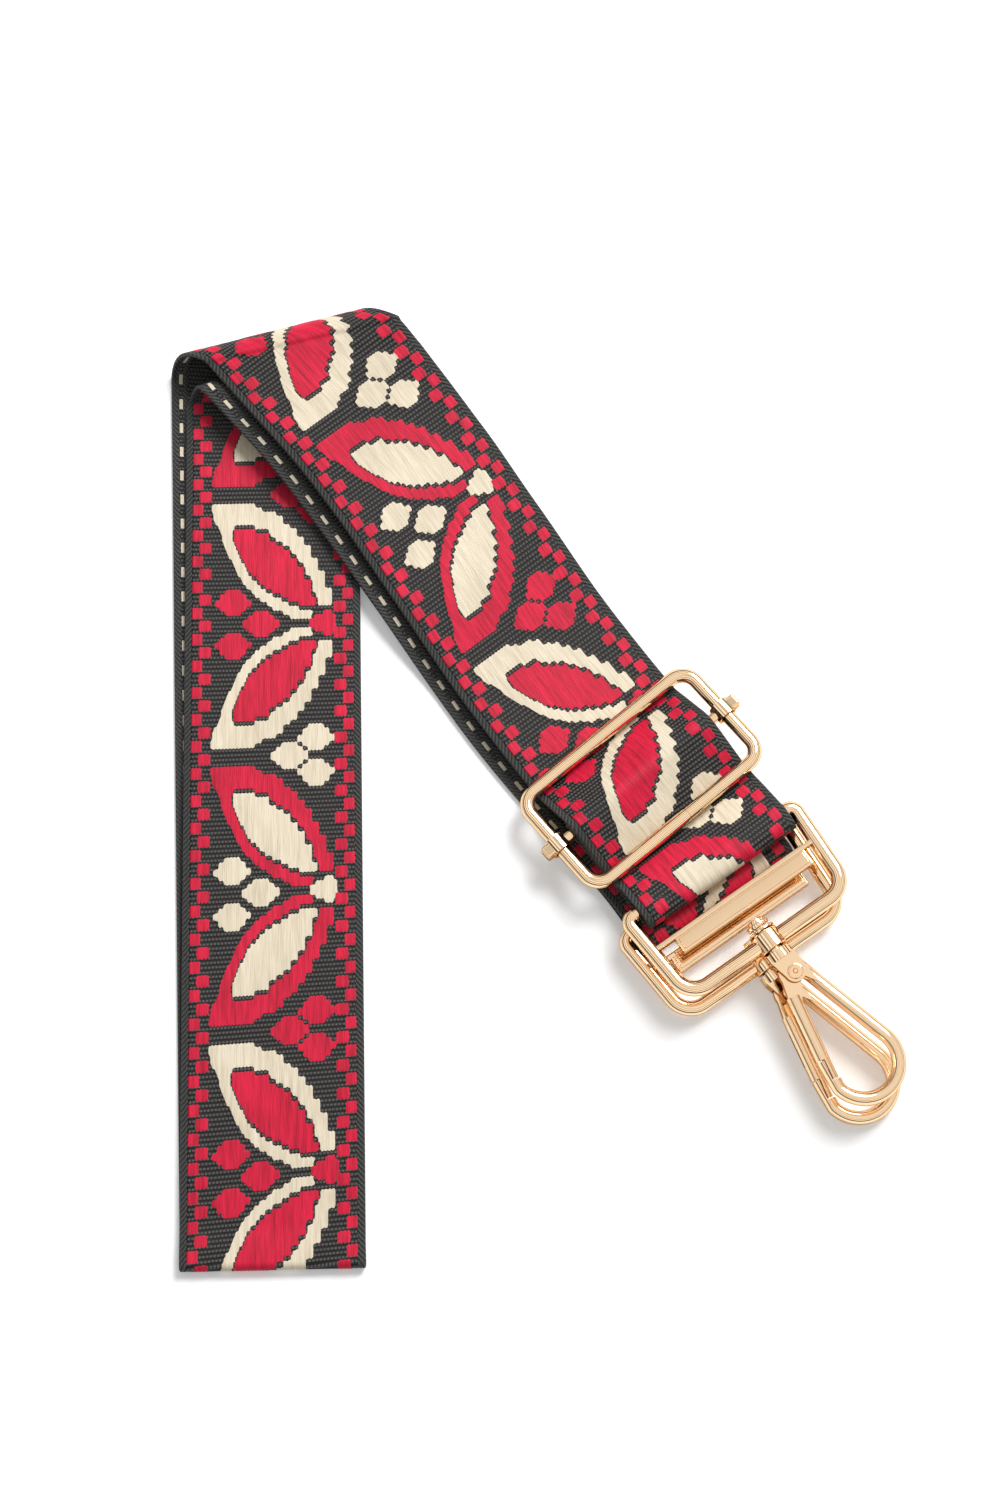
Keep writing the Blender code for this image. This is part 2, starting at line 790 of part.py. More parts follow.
def hook_body_mesh():
    """Neck, fork and the arm that runs round the eye to the nose."""
    round_end = arc(eye_centre, eye_radius, arm_lean, gate_lean - 180, 20)
    path = [arm_line(neck_length + hook_rod_radius), arm_line(gate_shoulder_reach)]
    path += round_end
    path.append(gate_line(nose_reach))
    rivet = rivet_centre()
    root = arm_line(gate_shoulder_reach)
    low = arm_line(gate_shoulder_reach + hook_rod_radius)
    cheek = [(neck_radius - edge_round, -neck_length), root[:2], low[:2]]
    cheek += [point[:2] for point in arc(rivet, cheek_radius, -60, -180, 9)]
    cheek.append((-neck_radius + edge_round, -neck_length))
    solids = [
        cylinder(neck_radius, (0, -neck_length - edge_round, 0), (0, 0, 0), 32),
        plate(cheek, cheek_half_thickness),
        rod(path, hook_rod_radius, flattening=hook_rod_flattening),
    ]
    fork_gap = knuckle_half_thickness + clearance
    fork = plate(knuckle_outline(hub_radius + clearance, knuckle_radius + clearance,
                                 gate_opening + fork_room),
                 fork_gap)
    side_cut = box((rivet.x - 2 * knuckle_radius, rivet.y - 2 * knuckle_radius, -fork_gap),
                   (rivet.x, rivet.y + hub_radius + clearance, fork_gap))
    through = Vector((0, 0, cheek_half_thickness + overrun))
    bore = cylinder(rivet_radius + clearance, rivet - through, rivet + through, 20)
    socket = cylinder(pin_radius + clearance, (0, -socket_depth, 0), (0, overrun, 0), 24)
    return fuse(solids, [fork, side_cut, bore, socket, nose_cut()])


def nose_cut():
    """Takes the inner half off the nose, where the gate's tip closes against it."""
    seat = gate_line(nose_reach + step_length)
    return box(
        (seat.x - clearance / 2, seat.y, -2 * hook_rod_radius),
        (seat.x + 2 * hook_rod_radius, seat.y + 2 * step_length, 2 * hook_rod_radius),
        turn=-gate_lean, pivot=seat,
    )


def gate_mesh():
    """Knuckle, and a grooved rod that closes against the inside of the nose."""
    tip = gate_line(nose_reach + step_length - clearance)
    shoulder = gate_line(gate_shoulder_reach)
    heading = (tip - shoulder).normalized()
    aside = Vector((heading.y, -heading.x, 0))
    rivet = rivet_centre()
    root = shoulder + heading * hook_rod_radius
    inside = root - aside * hook_rod_radius * heel_share
    outside = root + aside * hook_rod_radius * heel_share
    upper = arc(rivet, knuckle_radius, knuckle_start, knuckle_end, 1)
    half = knuckle_half_thickness
    solids = [
        plate(knuckle_outline(hub_radius, knuckle_radius, 0), half),
        plate([inside[:2], outside[:2], upper[0][:2], rivet[:2], upper[1][:2]], half),
        rod([shoulder, (shoulder + tip) / 2, tip], hook_rod_radius, flattening=hook_rod_flattening),
    ]
    outer_seat = gate_line(nose_reach - clearance)
    step = box(
        (outer_seat.x - 2 * hook_rod_radius, outer_seat.y - 2 * step_length, -2 * hook_rod_radius),
        (outer_seat.x + clearance / 2, outer_seat.y, 2 * hook_rod_radius),
        turn=-gate_lean, pivot=outer_seat,
    )
    groove_start = gate_line(gate_shoulder_reach + knuckle_radius)
    groove = box(
        (groove_start.x - 2 * hook_rod_radius,
         groove_start.y - (nose_reach - gate_shoulder_reach - 2 * knuckle_radius), -groove_width / 2),
        (groove_start.x - hook_rod_radius + groove_depth, groove_start.y, groove_width / 2),
        turn=-gate_lean, pivot=groove_start,
    )
    bore = cylinder(rivet_radius + clearance, rivet - Vector((0, 0, half + overrun)),
                    rivet + Vector((0, 0, half + overrun)), 20)
    pocket = cylinder(hub_radius - pocket_wall, rivet - Vector((0, 0, half - pocket_floor)),
                      rivet + Vector((0, 0, half + overrun)), 24)
    return fuse(solids, [step, groove, bore, pocket])


def rivet_mesh():
    """Rivet through the cheeks with a low head on each."""
    half = cheek_half_thickness + clearance
    tall = half + rivet_head_height
    rivet = rivet_centre()
    up = Vector((0, 0, 1))
    return fuse([
        cylinder(rivet_radius, rivet - up * tall, rivet + up * tall, 20),
        cylinder(rivet_head_radius, rivet + up * half, rivet + up * tall, 24),
        cylinder(rivet_head_radius, rivet - up * tall, rivet - up * half, 24),
    ])


def spring_mesh():
    """Torsion coil round the rivet in the knuckle's pocket."""
    low = -knuckle_half_thickness + pocket_floor + spring_wire_radius + clearance
    high = knuckle_half_thickness - spring_wire_radius
    count = round(spring_turns * spring_turn_points)
    rivet = rivet_centre()
    points = []
    for step in range(count + 1):
        angle = math.tau * step / spring_turn_points
        points.append((rivet.x + spring_coil_radius * math.cos(angle),
                       rivet.y + spring_coil_radius * math.sin(angle),
                       low + (high - low) * step / count))
    gap = (high - low) / spring_turns - 2 * spring_wire_radius
    print(f"spring: least gap between turns {gap / MM:.2f} mm")
    return fuse([rod(points, spring_wire_radius, resolution=1)])


def build_webbing():
    """The webbing's sections from the slider's bar to the sewn end at hook B."""
    outer = roll_sections(outer_roll, lower_layer_drift, floor_layer)
    inner = roll_sections(inner_roll, 0.0, floor_layer + layer_step)
    top_line = PlanLine(exit_point(outer), top_headings)
    under_line = PlanLine(exit_point(inner), under_headings)
    top = arm_sections(top_line, top_heights, outer, top_heights[-1][0])
    under = arm_sections(under_line, under_heights, inner, under_heights[-1][0])
    top += belt_sections(top_line, belt(top_belt((*top_heights[-1], 0, 0))))
    under += belt_sections(under_line, belt(under_belt((*under_heights[-1], 0, 0))))
    sections = top[::-1] + outer[::-1] + left_sections() + inner + under
    return sections, top_line, under_line


def build_hook(name, line, root):
    """One swivel hook on its crossbar."""
    lay = hook_lay[name]
    plan = line.point(lay["station"]) + across(line.heading(lay["station"])) * lay["aside"]
    crossbar = empty(f"{name}_crossbar_axis", root, (*plan, lay["height"]), pitch=-lay["frame_pitch"])
    droop = lay["frame_pitch"] - lay["hook_pitch"]
    swivel = empty(f"{name}_swivel_axis", crossbar, (0, -frame_reach, 0), pitch=droop)
    stem = empty(f"{name}_neck", swivel, (0, -boss_length / 2 - clearance - pin_tilt_room, 0))
    rivet = empty(f"{name}_rivet_axis", stem, rivet_centre())
    piece(f"{name}_frame", meshes["frame"], gold, crossbar)
    piece(f"{name}_swivel_pin", meshes["pin"], gold, stem)
    washer = piece(f"{name}_swivel_washer", meshes["washer"], gold, crossbar)
    washer.location = (0, -frame_reach, 0)
    piece(f"{name}_body", meshes["body"], gold, stem)
    for part, finish in (("gate", gold), ("gate_rivet", gold), ("gate_spring", steel)):
        made = piece(f"{name}_{part}", meshes[part], finish, rivet)
        made.location = -rivet_centre()


def centre_on_footprint(root):
    """Move the root so that the strap stands on z = 0 over the origin."""
    bpy.context.view_layer.update()
    corners = []
    for made in parts.objects:
        if made.type == "MESH":
            corners += [made.matrix_world @ vertex.co for vertex in made.data.vertices]
    low = Vector([min(corner[axis] for corner in corners) for axis in range(3)])
    high = Vector([max(corner[axis] for corner in corners) for axis in range(3)])
    root.location = (-(low.x + high.x) / 2, -(low.y + high.y) / 2, -low.z)
    bpy.context.view_layer.update()


for old in list(bpy.data.objects):
    bpy.data.objects.remove(old, do_unlink=True)
parts = bpy.data.collections.new("bag_strap")
bpy.context.scene.collection.children.link(parts)

gold = ((0.93, 0.76, 0.53), 0.16, 1.0)
steel = ((0.62, 0.61, 0.6), 0.3, 1.0)
cloth = ((0.09, 0.09, 0.09), 0.85, 0.0)

strap_root = empty("bag_strap_root", None, (0, 0, 0))
web_sections, top_line, under_line = build_webbing()
piece("webbing", strip_mesh("webbing", web_sections), cloth, strap_root)

slider_plan = top_line.point(slider_station)
slider = empty("slider_axis", strap_root, (*slider_plan, slider_height),
               pitch=-slider_pitch, turn=top_line.heading(slider_station) + 90)
piece("slider_frame", slider_frame_mesh(), gold, slider)
piece("slider_bar", slider_bar_mesh(), gold, slider)

meshes = {
    "frame": hook_frame_mesh(),
    "pin": swivel_pin_mesh(),
    "washer": swivel_washer_mesh(),
    "body": hook_body_mesh(),
    "gate": gate_mesh(),
    "gate_rivet": rivet_mesh(),
    "gate_spring": spring_mesh(),
}
build_hook("hook_a", top_line, strap_root)
build_hook("hook_b", under_line, strap_root)
centre_on_footprint(strap_root)
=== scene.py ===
"""Looks of the detachable bag strap: woven webbing and polished gold fittings.

Blender 4.5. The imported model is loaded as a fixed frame. Every piece is in metres in that frame,
stands for its solid and rides on that solid's body. The webbing is woven cell by cell along the
same path as its solid: a cell is half a rib long and half a strand wide, and a formula says which
thread lies on top there.
"""

import math

import bmesh
import bpy
import numpy as np
from mathutils import Matrix, Vector


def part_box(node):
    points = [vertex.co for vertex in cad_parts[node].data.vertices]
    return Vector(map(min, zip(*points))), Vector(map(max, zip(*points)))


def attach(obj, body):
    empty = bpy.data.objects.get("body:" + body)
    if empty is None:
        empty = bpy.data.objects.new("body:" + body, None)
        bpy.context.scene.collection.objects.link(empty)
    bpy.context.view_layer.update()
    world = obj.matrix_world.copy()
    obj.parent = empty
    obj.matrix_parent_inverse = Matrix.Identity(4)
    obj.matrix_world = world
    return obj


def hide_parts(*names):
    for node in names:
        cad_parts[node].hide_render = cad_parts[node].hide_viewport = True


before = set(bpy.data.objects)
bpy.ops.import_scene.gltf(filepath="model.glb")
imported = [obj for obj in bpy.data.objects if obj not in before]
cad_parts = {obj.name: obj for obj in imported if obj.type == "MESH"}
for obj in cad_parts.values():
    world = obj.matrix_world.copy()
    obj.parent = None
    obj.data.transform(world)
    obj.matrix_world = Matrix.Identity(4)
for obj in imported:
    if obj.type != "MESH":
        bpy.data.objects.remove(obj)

MM = 0.001

bpy.context.view_layer.update()

# Webbing
web_width = 50 * MM
web_thickness = 1.4 * MM
clearance = 0.3 * MM
path_step = 1 * MM
bend_step = 5
longest_bend = 350
roll_steps = 60
fold_steps = 36

# Left arm in plan
left_mark = (0.2 * MM, 115.5 * MM)
left_heading = 56.2
left_length = 240 * MM
lower_layer_drift = -4.3 * MM
bottom_fold_radius = 1.25 * MM
bottom_fold_run = 12 * MM
bottom_fold_steps = 10
layer_margin = 18 * MM

# Rolls at the top
outer_roll = {
    "axis_point": (12 * MM, 134 * MM),
    "axis_heading": -22.5,
    "reach": 6.0 * MM,
    "rise": 7.0 * MM,
    "flare_share": 0.03,
    "drift": 14.0 * MM,
    "steady_drift_share": 0.15,
    "span_shares": (0.518, 0.533, 0.574),
}
inner_roll = {
    "axis_point": (12 * MM, 126.5 * MM),
    "axis_heading": -20.0,
    "reach": 3.5 * MM,
    "rise": 4.5 * MM,
    "flare_share": 0.02,
    "drift": 8.5 * MM,
    "steady_drift_share": 1.0,
    "span_shares": (0.516, 0.532, 0.570),
}

# Right arm in plan and in height: millimetres along each layer, with its heading or height there
top_headings = ((0, -84.0), (20, -84.0), (40, -88.0), (60, -91.5), (100, -91.0), (130, -88.5),
                (145, -86.0), (150, -85.2), (175, -85.2), (187, -90.0), (210, -90.0))
under_headings = ((0, -82.0), (20, -86.0), (40, -89.0), (60, -90.5), (110, -90.0), (130, -86.0),
                  (150, -83.5), (170, -84.5), (182, -90.0), (210, -90.0))
top_heights = ((0, 14.9), (14, 13.6), (50, 9.0), (78, 7.4), (112, 4.6), (135, 5.2))
under_heights = ((0, 11.6), (12, 9.6), (44, 5.2), (70, 4.4), (104, 1.0), (135, 1.0))
plan_step = 0.5 * MM
untwist_run = 50 * MM
unskew_run = 32 * MM

# Slider
slider_station = 161.5 * MM
slider_height = 9.6 * MM
slider_pitch = 5.0
slider_side_room = 5.2 * MM
slider_length = 37 * MM
slider_wire_radius = 2.0 * MM
slider_corner_radius = 5.0 * MM
slider_bar_radius = 1.6 * MM
slider_travel = 1.3 * MM
slider_seam_place = 2.6 * MM
clasp_wall = 0.75 * MM
clasp_length = 4.4 * MM
clasp_tongue_reach = 4.9 * MM
clasp_tongue_height = 2.2 * MM
slider_tail = 3.7 * MM
slider_tail_rise = 1.05 * MM

# Hook frame, measured from the axis of its crossbar: -Y runs to the hook
frame_side_room = 3.25 * MM
frame_taper = 1.1 * MM
frame_rod_radius = 2.15 * MM
frame_corner_radius = 6.5 * MM
frame_reach = 27.3 * MM
ear_turn = 2.4 * MM
crossbar_radius = 1.6 * MM
window_length = 10.5 * MM
ledge_width = 1.5 * MM
ledge_thickness = 3.2 * MM
panel_width = 4.6 * MM
panel_thickness = 2.6 * MM
panel_left_gap = 4.2 * MM
panel_right_gap = 1.9 * MM
panel_border = 0.8 * MM
panel_relief = 0.3 * MM
boss_radius = 4.0 * MM
boss_length = 5.4 * MM
edge_round = 0.35 * MM

# Swivel
pin_radius = 2.1 * MM
pin_tilt_room = 0.35 * MM
socket_depth = 1.7 * MM
washer_radius = 4.0 * MM
washer_thickness = 0.9 * MM
head_radius = 3.25 * MM
head_thickness = 1.4 * MM
peen_radius = 2.25 * MM
peen_height = 1.2 * MM
peen_bore_radius = 1.3 * MM
peen_bore_depth = 1.9 * MM

# Hook, measured from the middle of the face of its neck: -Y runs to the tip
hook_rod_radius = 1.95 * MM
hook_rod_flattening = 1.25
eye_radius = 9.75 * MM
eye_centre = (1.25 * MM, -38.0 * MM)
arm_lean = 15.5
gate_lean = 11.0
neck_radius = 4.0 * MM
neck_length = 2.2 * MM
cheek_half_thickness = 2.9 * MM
cheek_radius = 2.9 * MM
rivet_reach = 7.5 * MM
rivet_aside = 0.5 * MM
rivet_radius = 1.1 * MM
rivet_head_radius = 2.1 * MM
rivet_head_height = 0.5 * MM
rivet_dimple_radius = 0.8 * MM
knuckle_radius = 4.4 * MM
hub_radius = 2.7 * MM
knuckle_start = 140
knuckle_end = 262
fork_room = 8
knuckle_half_thickness = 1.4 * MM
gate_shoulder_reach = 12.8 * MM
nose_rise = 4.64 * MM
step_length = 5.7 * MM
groove_width = 1.2 * MM
groove_depth = 1.0 * MM
gate_opening = 22.0
pocket_wall = 0.5 * MM
pocket_floor = 0.6 * MM
overrun = 2 * MM
seam_width = 0.25 * MM
weld_distance = clearance / 60
turned_steps = 72
bar_steps = 48
rod_resolution = 12
sharp_edge_angle = 30

# Where the hooks lie
hook_lay = {
    "hook_a": {"station": 192.4 * MM, "aside": -0.6 * MM, "height": 10.7 * MM, "frame_pitch": 3.0,
               "hook_pitch": -1.6},
    "hook_b": {"station": 190.2 * MM, "aside": 0 * MM, "height": 3.35 * MM, "frame_pitch": 1.7,
               "hook_pitch": -1.7},
}
webbing_end_run = 35 * MM
sewn_end_ramp = 9 * MM
loop_slack = {"hook_a": 2.6 * MM, "hook_b": 4.2 * MM}

layer_step = web_thickness + clearance
floor_layer = web_thickness / 2
wrap_radius = crossbar_radius + clearance + web_thickness / 2
rod_offset = web_width / 2 + frame_side_room
slot_reach = frame_reach - window_length - panel_width - ledge_width
slider_side = web_width / 2 + slider_side_room
slider_reach = slider_length / 2 - slider_wire_radius
bore_radius = pin_radius + clearance + pin_tilt_room
rivet = Vector((rivet_aside, -rivet_reach, 0))
nose_reach = -eye_centre[1] - eye_radius * math.sin(math.radians(gate_lean)) - nose_rise

# Weave: strands across the webbing, ribs along it
strand_width = 1.0 * MM
strand_count = 46
ribs_per_motif = 60
motif_length = 78.19 * MM
rib_length = motif_length / ribs_per_motif
check_ribs = 2.5
check_pitch = 6
ground_drop = 0.12 * MM
ground_groove = 0.17 * MM
float_groove = 0.09 * MM
corner_round = 0.16 * MM
scallop = 0.13 * MM
groove_limit = 0.4
fold_fine_run = 6 * MM
dash_edges = (21.8 * MM, 22.8 * MM)
cord_edges = (20.2 * MM, 21.6 * MM)
rope_radius = 0.64 * MM
inner_cord_share = 0.9
inner_cord_angles = (150, 118, 90, 62)
outer_cord_overhang = 0.1 * MM
outer_cord_angles = range(128, -152, -31)
ply_slant = 1.15
ply_pitch = 1.5 * MM
thread_lean = 12
# Half of the back's cross-section, in millimetres: places from the edge inwards, and how far each
# stands proud
back_half = ((23.0, 0), (22.8, 0), (22.3, 0.06), (21.8, 0), (21.6, 0), (21.25, 0.17), (20.9, 0.2),
             (20.55, 0.17), (20.2, 0), (17.5, 0), (13, 0), (8.5, 0), (4, 0))

# Places along the webbing where the pattern is known, from the start of its straight right arm,
# and the pattern's own place there
first_flower = 125 * MM
tail_run = -83 * MM
top_visible_run = 169 * MM
hidden_run = 409 * MM
fold_run = 423.1 * MM
tilt_run = 604 * MM
left_visible_run = 684 * MM
loop_from_end = 43.5 * MM
arm_mark = 133.9 * MM
top_stretch = 0.983
fold_mark = 568.7 * MM
fold_tilt = 0.085
loop_mark = 1052 * MM

# Camera, as the photograph was taken: its place from the middle of the folded strap
camera_place = (-115.2 * MM, -164.5 * MM, 749.3 * MM)
camera_right = (0.819, -0.574, 0)
camera_lens = 65.8
camera_sensor = 36


def direction(degrees):
    """Unit vector in plan for a heading."""
    return np.array([math.cos(math.radians(degrees)), math.sin(math.radians(degrees))])


def across(degrees):
    """Unit vector in plan from the strap's left edge to its right edge, for a downward heading."""
    return np.array([-math.sin(math.radians(degrees)), math.cos(math.radians(degrees))])


def smooth(share):
    """Ease from 0 to 1 with level ends."""
    share = min(max(share, 0.0), 1.0)
    return share * share * (3 - 2 * share)


def eased(table, place):
    """Read a table of (place, value) in millimetres, with level tangents at its rows."""
    for (start, low), (end, high) in zip(table, table[1:]):
        if place <= end * MM:
            return (low + (high - low) * smooth((place / MM - start) / (end - start))) * MM
    return table[-1][1] * MM


class PlanLine:
    """Centre line of one layer of the right arm, from its start and its table of headings."""

    def __init__(self, start, headings):
        places, angles = np.array(headings).T
        places = places * MM
        self.places = np.arange(places[0], places[-1], plan_step)
        self.angles = np.interp(self.places, places, angles)
        steps = np.radians(self.angles[:-1])
        self.x = start[0] + plan_step * np.concatenate([[0], np.cumsum(np.cos(steps))])
        self.y = start[1] + plan_step * np.concatenate([[0], np.cumsum(np.sin(steps))])

    def heading(self, place):
        return float(np.interp(place, self.places, self.angles))

    def point(self, place):
        if place < 0:
            return np.array([self.x[0], self.y[0]]) + place * direction(self.angles[0])
        return np.array([np.interp(place, self.places, values) for values in (self.x, self.y)])

    def edge(self, place, side):
        """Point on the left (-1), centre (0) or right (+1) line of the layer."""
        return self.point(place) + across(self.heading(place)) * side * web_width / 2


def roll_line(roll):
    """Axis direction and outward direction of a roll, in plan."""
    return direction(roll["axis_heading"]), direction(roll["axis_heading"] + 90)


def left_point(run, drift):
    """Point on the left arm's centre line, a distance up from the bottom fold."""
    along = direction(left_heading)
    sideways = across(left_heading + 180)
    return np.array(left_mark) + along * (run - left_length) + sideways * drift


def roll_entry(roll, drift):
    """How far along the roll's axis the centre line comes in."""
    along = direction(left_heading)
    axis, _ = roll_line(roll)
    offset = np.array(roll["axis_point"]) - left_point(left_length, drift)
    return np.linalg.solve(np.column_stack([along, -axis]), offset)[1]


def roll_sections(roll, drift, height):
    """Left and right edge points of the webbing as it rolls over, from the left arm outwards."""
    axis, outward = roll_line(roll)
    entry = roll_entry(roll, drift)
    steady = roll["steady_drift_share"]
    first, middle, last = roll["span_shares"]
    sections = []
    for step in range(roll_steps + 1):
        share = step / roll_steps
        turn = math.pi * share
        centre = entry + roll["drift"] * (steady * share + (1 - steady) * share ** 2)
        rise_share = first + (4 * middle - 3 * first - last) * share
        half_span = web_width * (rise_share + (2 * first + 2 * last - 4 * middle) * share ** 2)
        ends = []
        for side in (-1, 1):
            place = centre + side * half_span
            flare = roll["flare_share"] * (place - entry)
            plan = np.array(roll["axis_point"]) + place * axis
            plan = plan + outward * (roll["reach"] + flare) * math.sin(turn)
            ends.append(np.array([*plan, height + (roll["rise"] + flare) * (1 - math.cos(turn))]))
        sections.append(tuple(ends))
    return sections


def exit_point(sections):
    """Middle of the last section of a roll, in plan."""
    left, right = sections[-1]
    return (left[:2] + right[:2]) / 2


def arm_sections(line, heights, sections):
    """The layer from the roll down the right arm, straightening and lying flat as it goes."""
    left, right = sections[-1]
    half_tilt = (right[2] - left[2]) / 2
    chord = right[:2] - left[:2]
    skew = math.degrees(math.atan2(chord[1], chord[0])) - line.heading(0) - 90
    stop = heights[-1][0] * MM
    count = round(stop / path_step)
    result = []
    for step in range(1, count + 1):
        place = stop * step / count
        lean = math.tan(math.radians(skew)) * (1 - smooth(place / unskew_run)) * web_width / 2
        tilt = half_tilt * (1 - smooth(place / untwist_run))
        height = eased(heights, place)
        result.append(tuple(np.array([*line.edge(place - side * lean, side), height + side * tilt])
                            for side in (-1, 1)))
    return result


def belt(stops):
    """Path in (distance, height) over and under round bars, as straight runs and arcs.

    A stop is (distance, height, radius, turn), where turn is +1 round the bar anticlockwise,
    -1 clockwise and 0 for a plain point.
    """
    headings = []
    for (q0, z0, r0, s0), (q1, z1, r1, s1) in zip(stops, stops[1:]):
        length = math.hypot(q1 - q0, z1 - z0)
        headings.append(math.atan2(z1 - z0, q1 - q0) - math.asin((s1 * r1 - s0 * r0) / length))
    path = [(stops[0][0], stops[0][1])]
    for index, (q, z, radius, turn) in enumerate(stops[1:-1]):
        if turn == 0:
            path.append((q, z))
            continue
        start, end = headings[index], headings[index + 1]
        sweep = (turn * (end - start)) % math.tau
        if sweep > math.radians(longest_bend):
            sweep = 0.0
        count = math.ceil(math.degrees(sweep) / bend_step)
        for step in range(count + 1):
            angle = start + turn * sweep * step / max(count, 1)
            path.append((q + turn * radius * math.sin(angle), z - turn * radius * math.cos(angle)))
    path.append((stops[-1][0], stops[-1][1]))
    return path


def belt_sections(line, path):
    """Edge points along a belt path that lies over one layer's centre line."""
    result = []
    for (q0, z0), (q1, z1) in zip(path, path[1:]):
        count = max(1, round(math.hypot(q1 - q0, z1 - z0) / path_step))
        for step in range(1, count + 1):
            place = q0 + (q1 - q0) * step / count
            height = z0 + (z1 - z0) * step / count
            result.append(tuple(np.array([*line.edge(place, side), height]) for side in (-1, 1)))
    return result


def left_sections():
    """Both layers of the left arm, from the outer roll down, round the bottom fold and up again."""
    start = layer_margin
    end = left_length - layer_margin
    count = round((end - start) / path_step / 2)
    lower = []
    upper = []
    for step in range(count + 1):
        run = start + (end - start) * step / count
        for layer, drift, height in (
            (lower, lower_layer_drift * run / left_length, floor_layer),
            (upper, 0.0, floor_layer + layer_step),
        ):
            layer.append(left_ends(run, drift, height))
    fold = []
    bulge = bottom_fold_radius * 2 - layer_step
    centre = bottom_fold_radius + floor_layer
    for step in range(fold_steps + 1):
        angle = math.pi * step / fold_steps
        run = bottom_fold_radius * (1 - math.sin(angle)) + web_thickness / 2
        fold.append(left_ends(run, 0.0, centre - bottom_fold_radius * math.cos(angle)))
    for step in range(1, bottom_fold_steps):
        share = step / bottom_fold_steps
        height = floor_layer + layer_step + bulge * (1 - smooth(share))
        fold.append(left_ends(bottom_fold_run * share + bottom_fold_radius, 0.0, height))
    return lower[::-1] + fold + upper


def left_ends(run, drift, height):
    """Edge points across the left arm."""
    middle = left_point(run, drift)
    sideways = across(left_heading + 180)
    return tuple(np.array([*(middle + sideways * side * web_width / 2), height])
                 for side in (-1, 1))


def slider_bar_heights():
    """Heights of the far wire, the centre bar and the near wire of the slider."""
    lift = slider_reach * math.sin(math.radians(slider_pitch))
    return slider_height - lift, slider_height, slider_height + lift


def top_belt(line_start):
    """Stops of the top layer: slider, crossbar of hook A, back to the slider's bar, and the tail."""
    far, middle, near = slider_bar_heights()
    crossbar = hook_lay["hook_a"]
    far_place = slider_station - slider_reach
    near_place = slider_station + slider_reach
    under_wire = slider_wire_radius + clearance + web_thickness / 2
    round_bar = slider_bar_radius + clearance + web_thickness / 2
    return [
        line_start,
        (far_place - slider_travel, far, under_wire, 1),
        (far_place + slider_travel, far, under_wire, 1),
        (slider_station, middle, round_bar + layer_step, -1),
        (near_place - slider_travel, near, under_wire, 1),
        (near_place + slider_travel, near, under_wire, 1),
        (crossbar["station"], crossbar["height"], wrap_radius, -1),
        (crossbar["station"] + loop_slack["hook_a"], crossbar["height"], wrap_radius, -1),
        (near_place + slider_travel, near, under_wire + 2 * layer_step, -1),
        (near_place - slider_travel, near, under_wire + 2 * layer_step, -1),
        (slider_station, middle, round_bar, -1),
        (near_place - slider_travel, near, under_wire + layer_step, 1),
        (near_place + slider_travel, near, under_wire + layer_step, 1),
        (near_place + slider_travel + slider_tail,
         near - under_wire - layer_step + slider_tail_rise, 0, 0),
    ]


def under_belt(line_start):
    """Stops of the bottom layer: round the crossbar of hook B and back on top of itself."""
    crossbar = hook_lay["hook_b"]
    end = crossbar["station"] - webbing_end_run
    on_top = floor_layer + layer_step + clearance
    return [
        line_start,
        (crossbar["station"] + loop_slack["hook_b"], crossbar["height"], wrap_radius, 1),
        (crossbar["station"], crossbar["height"], wrap_radius, 1),
        (crossbar["station"] - 2 * sewn_end_ramp, on_top, 0, 0),
        (end, on_top, 0, 0),
    ]


def webbing_path():
    """Left and right edges of the webbing from its end at the slider to its end at hook B."""
    outer = roll_sections(outer_roll, lower_layer_drift, floor_layer)
    inner = roll_sections(inner_roll, 0.0, floor_layer + layer_step)
    top_line = PlanLine(exit_point(outer), top_headings)
    under_line = PlanLine(exit_point(inner), under_headings)
    layers = []
    for line, heights, roll, stops in ((top_line, top_heights, outer, top_belt),
                                       (under_line, under_heights, inner, under_belt)):
        joint = (heights[-1][0] * MM, heights[-1][1] * MM, 0, 0)
        layers.append((arm_sections(line, heights, roll), belt_sections(line, belt(stops(joint)))))
    (top_arm, top_end), (under_arm, under_end) = layers
    top = top_end[::-1] + top_arm[::-1] + outer[::-1]
    left, right = zip(*(top + left_sections() + inner + under_arm + under_end))
    arm_start = len(top_end)
    return np.array(left), np.array(right), arm_start, top_line, under_line


# One leaf, in millimetres across and along from the middle of its flower: outer and inner edge
# of its border, and the two edges of its heart
leaf_outer = ((-17.5, 36.7), (-7, 36.5), (-2, 34.5), (3, 31.4), (6, 28.2), (9.5, 24), (12.6, 18),
              (14.5, 14.6), (16.4, 9.9), (17.5, 5.2))
leaf_inner = ((-17.5, 34.6), (-16.7, 31.4), (-14.8, 27.4), (-13.5, 22.7), (-11, 17.3), (-8.5, 12.6),
              (-4.7, 7.9), (0.3, 4.5), (2.8, 3.4), (6, 1.4), (11.2, 1.0), (11.3, 5.2), (17.5, 5.2))
heart_outer = ((-11.2, 29.1), (-7.5, 29.3), (-2.2, 27.2), (0.5, 24.8), (3, 22.8), (5.5, 20.5),
               (7.3, 18.3), (9.2, 15.1), (11, 10.7), (12.7, 6.5))
heart_inner = ((-11.2, 27.5), (-10.4, 23.3), (-8.8, 20.3), (-7.2, 16.5), (-4.7, 13.7), (-2.2, 11.1),
               (2.2, 8.5), (5.4, 6.8), (8, 5.5), (12.7, 5.0))
flower_dots = ((-11.3, 6.3), (-3.2, 0.0), (-11.3, -6.4))
gap_dots = ((12.4, 5.0), (4.6, 0.0), (12.4, -5.0))
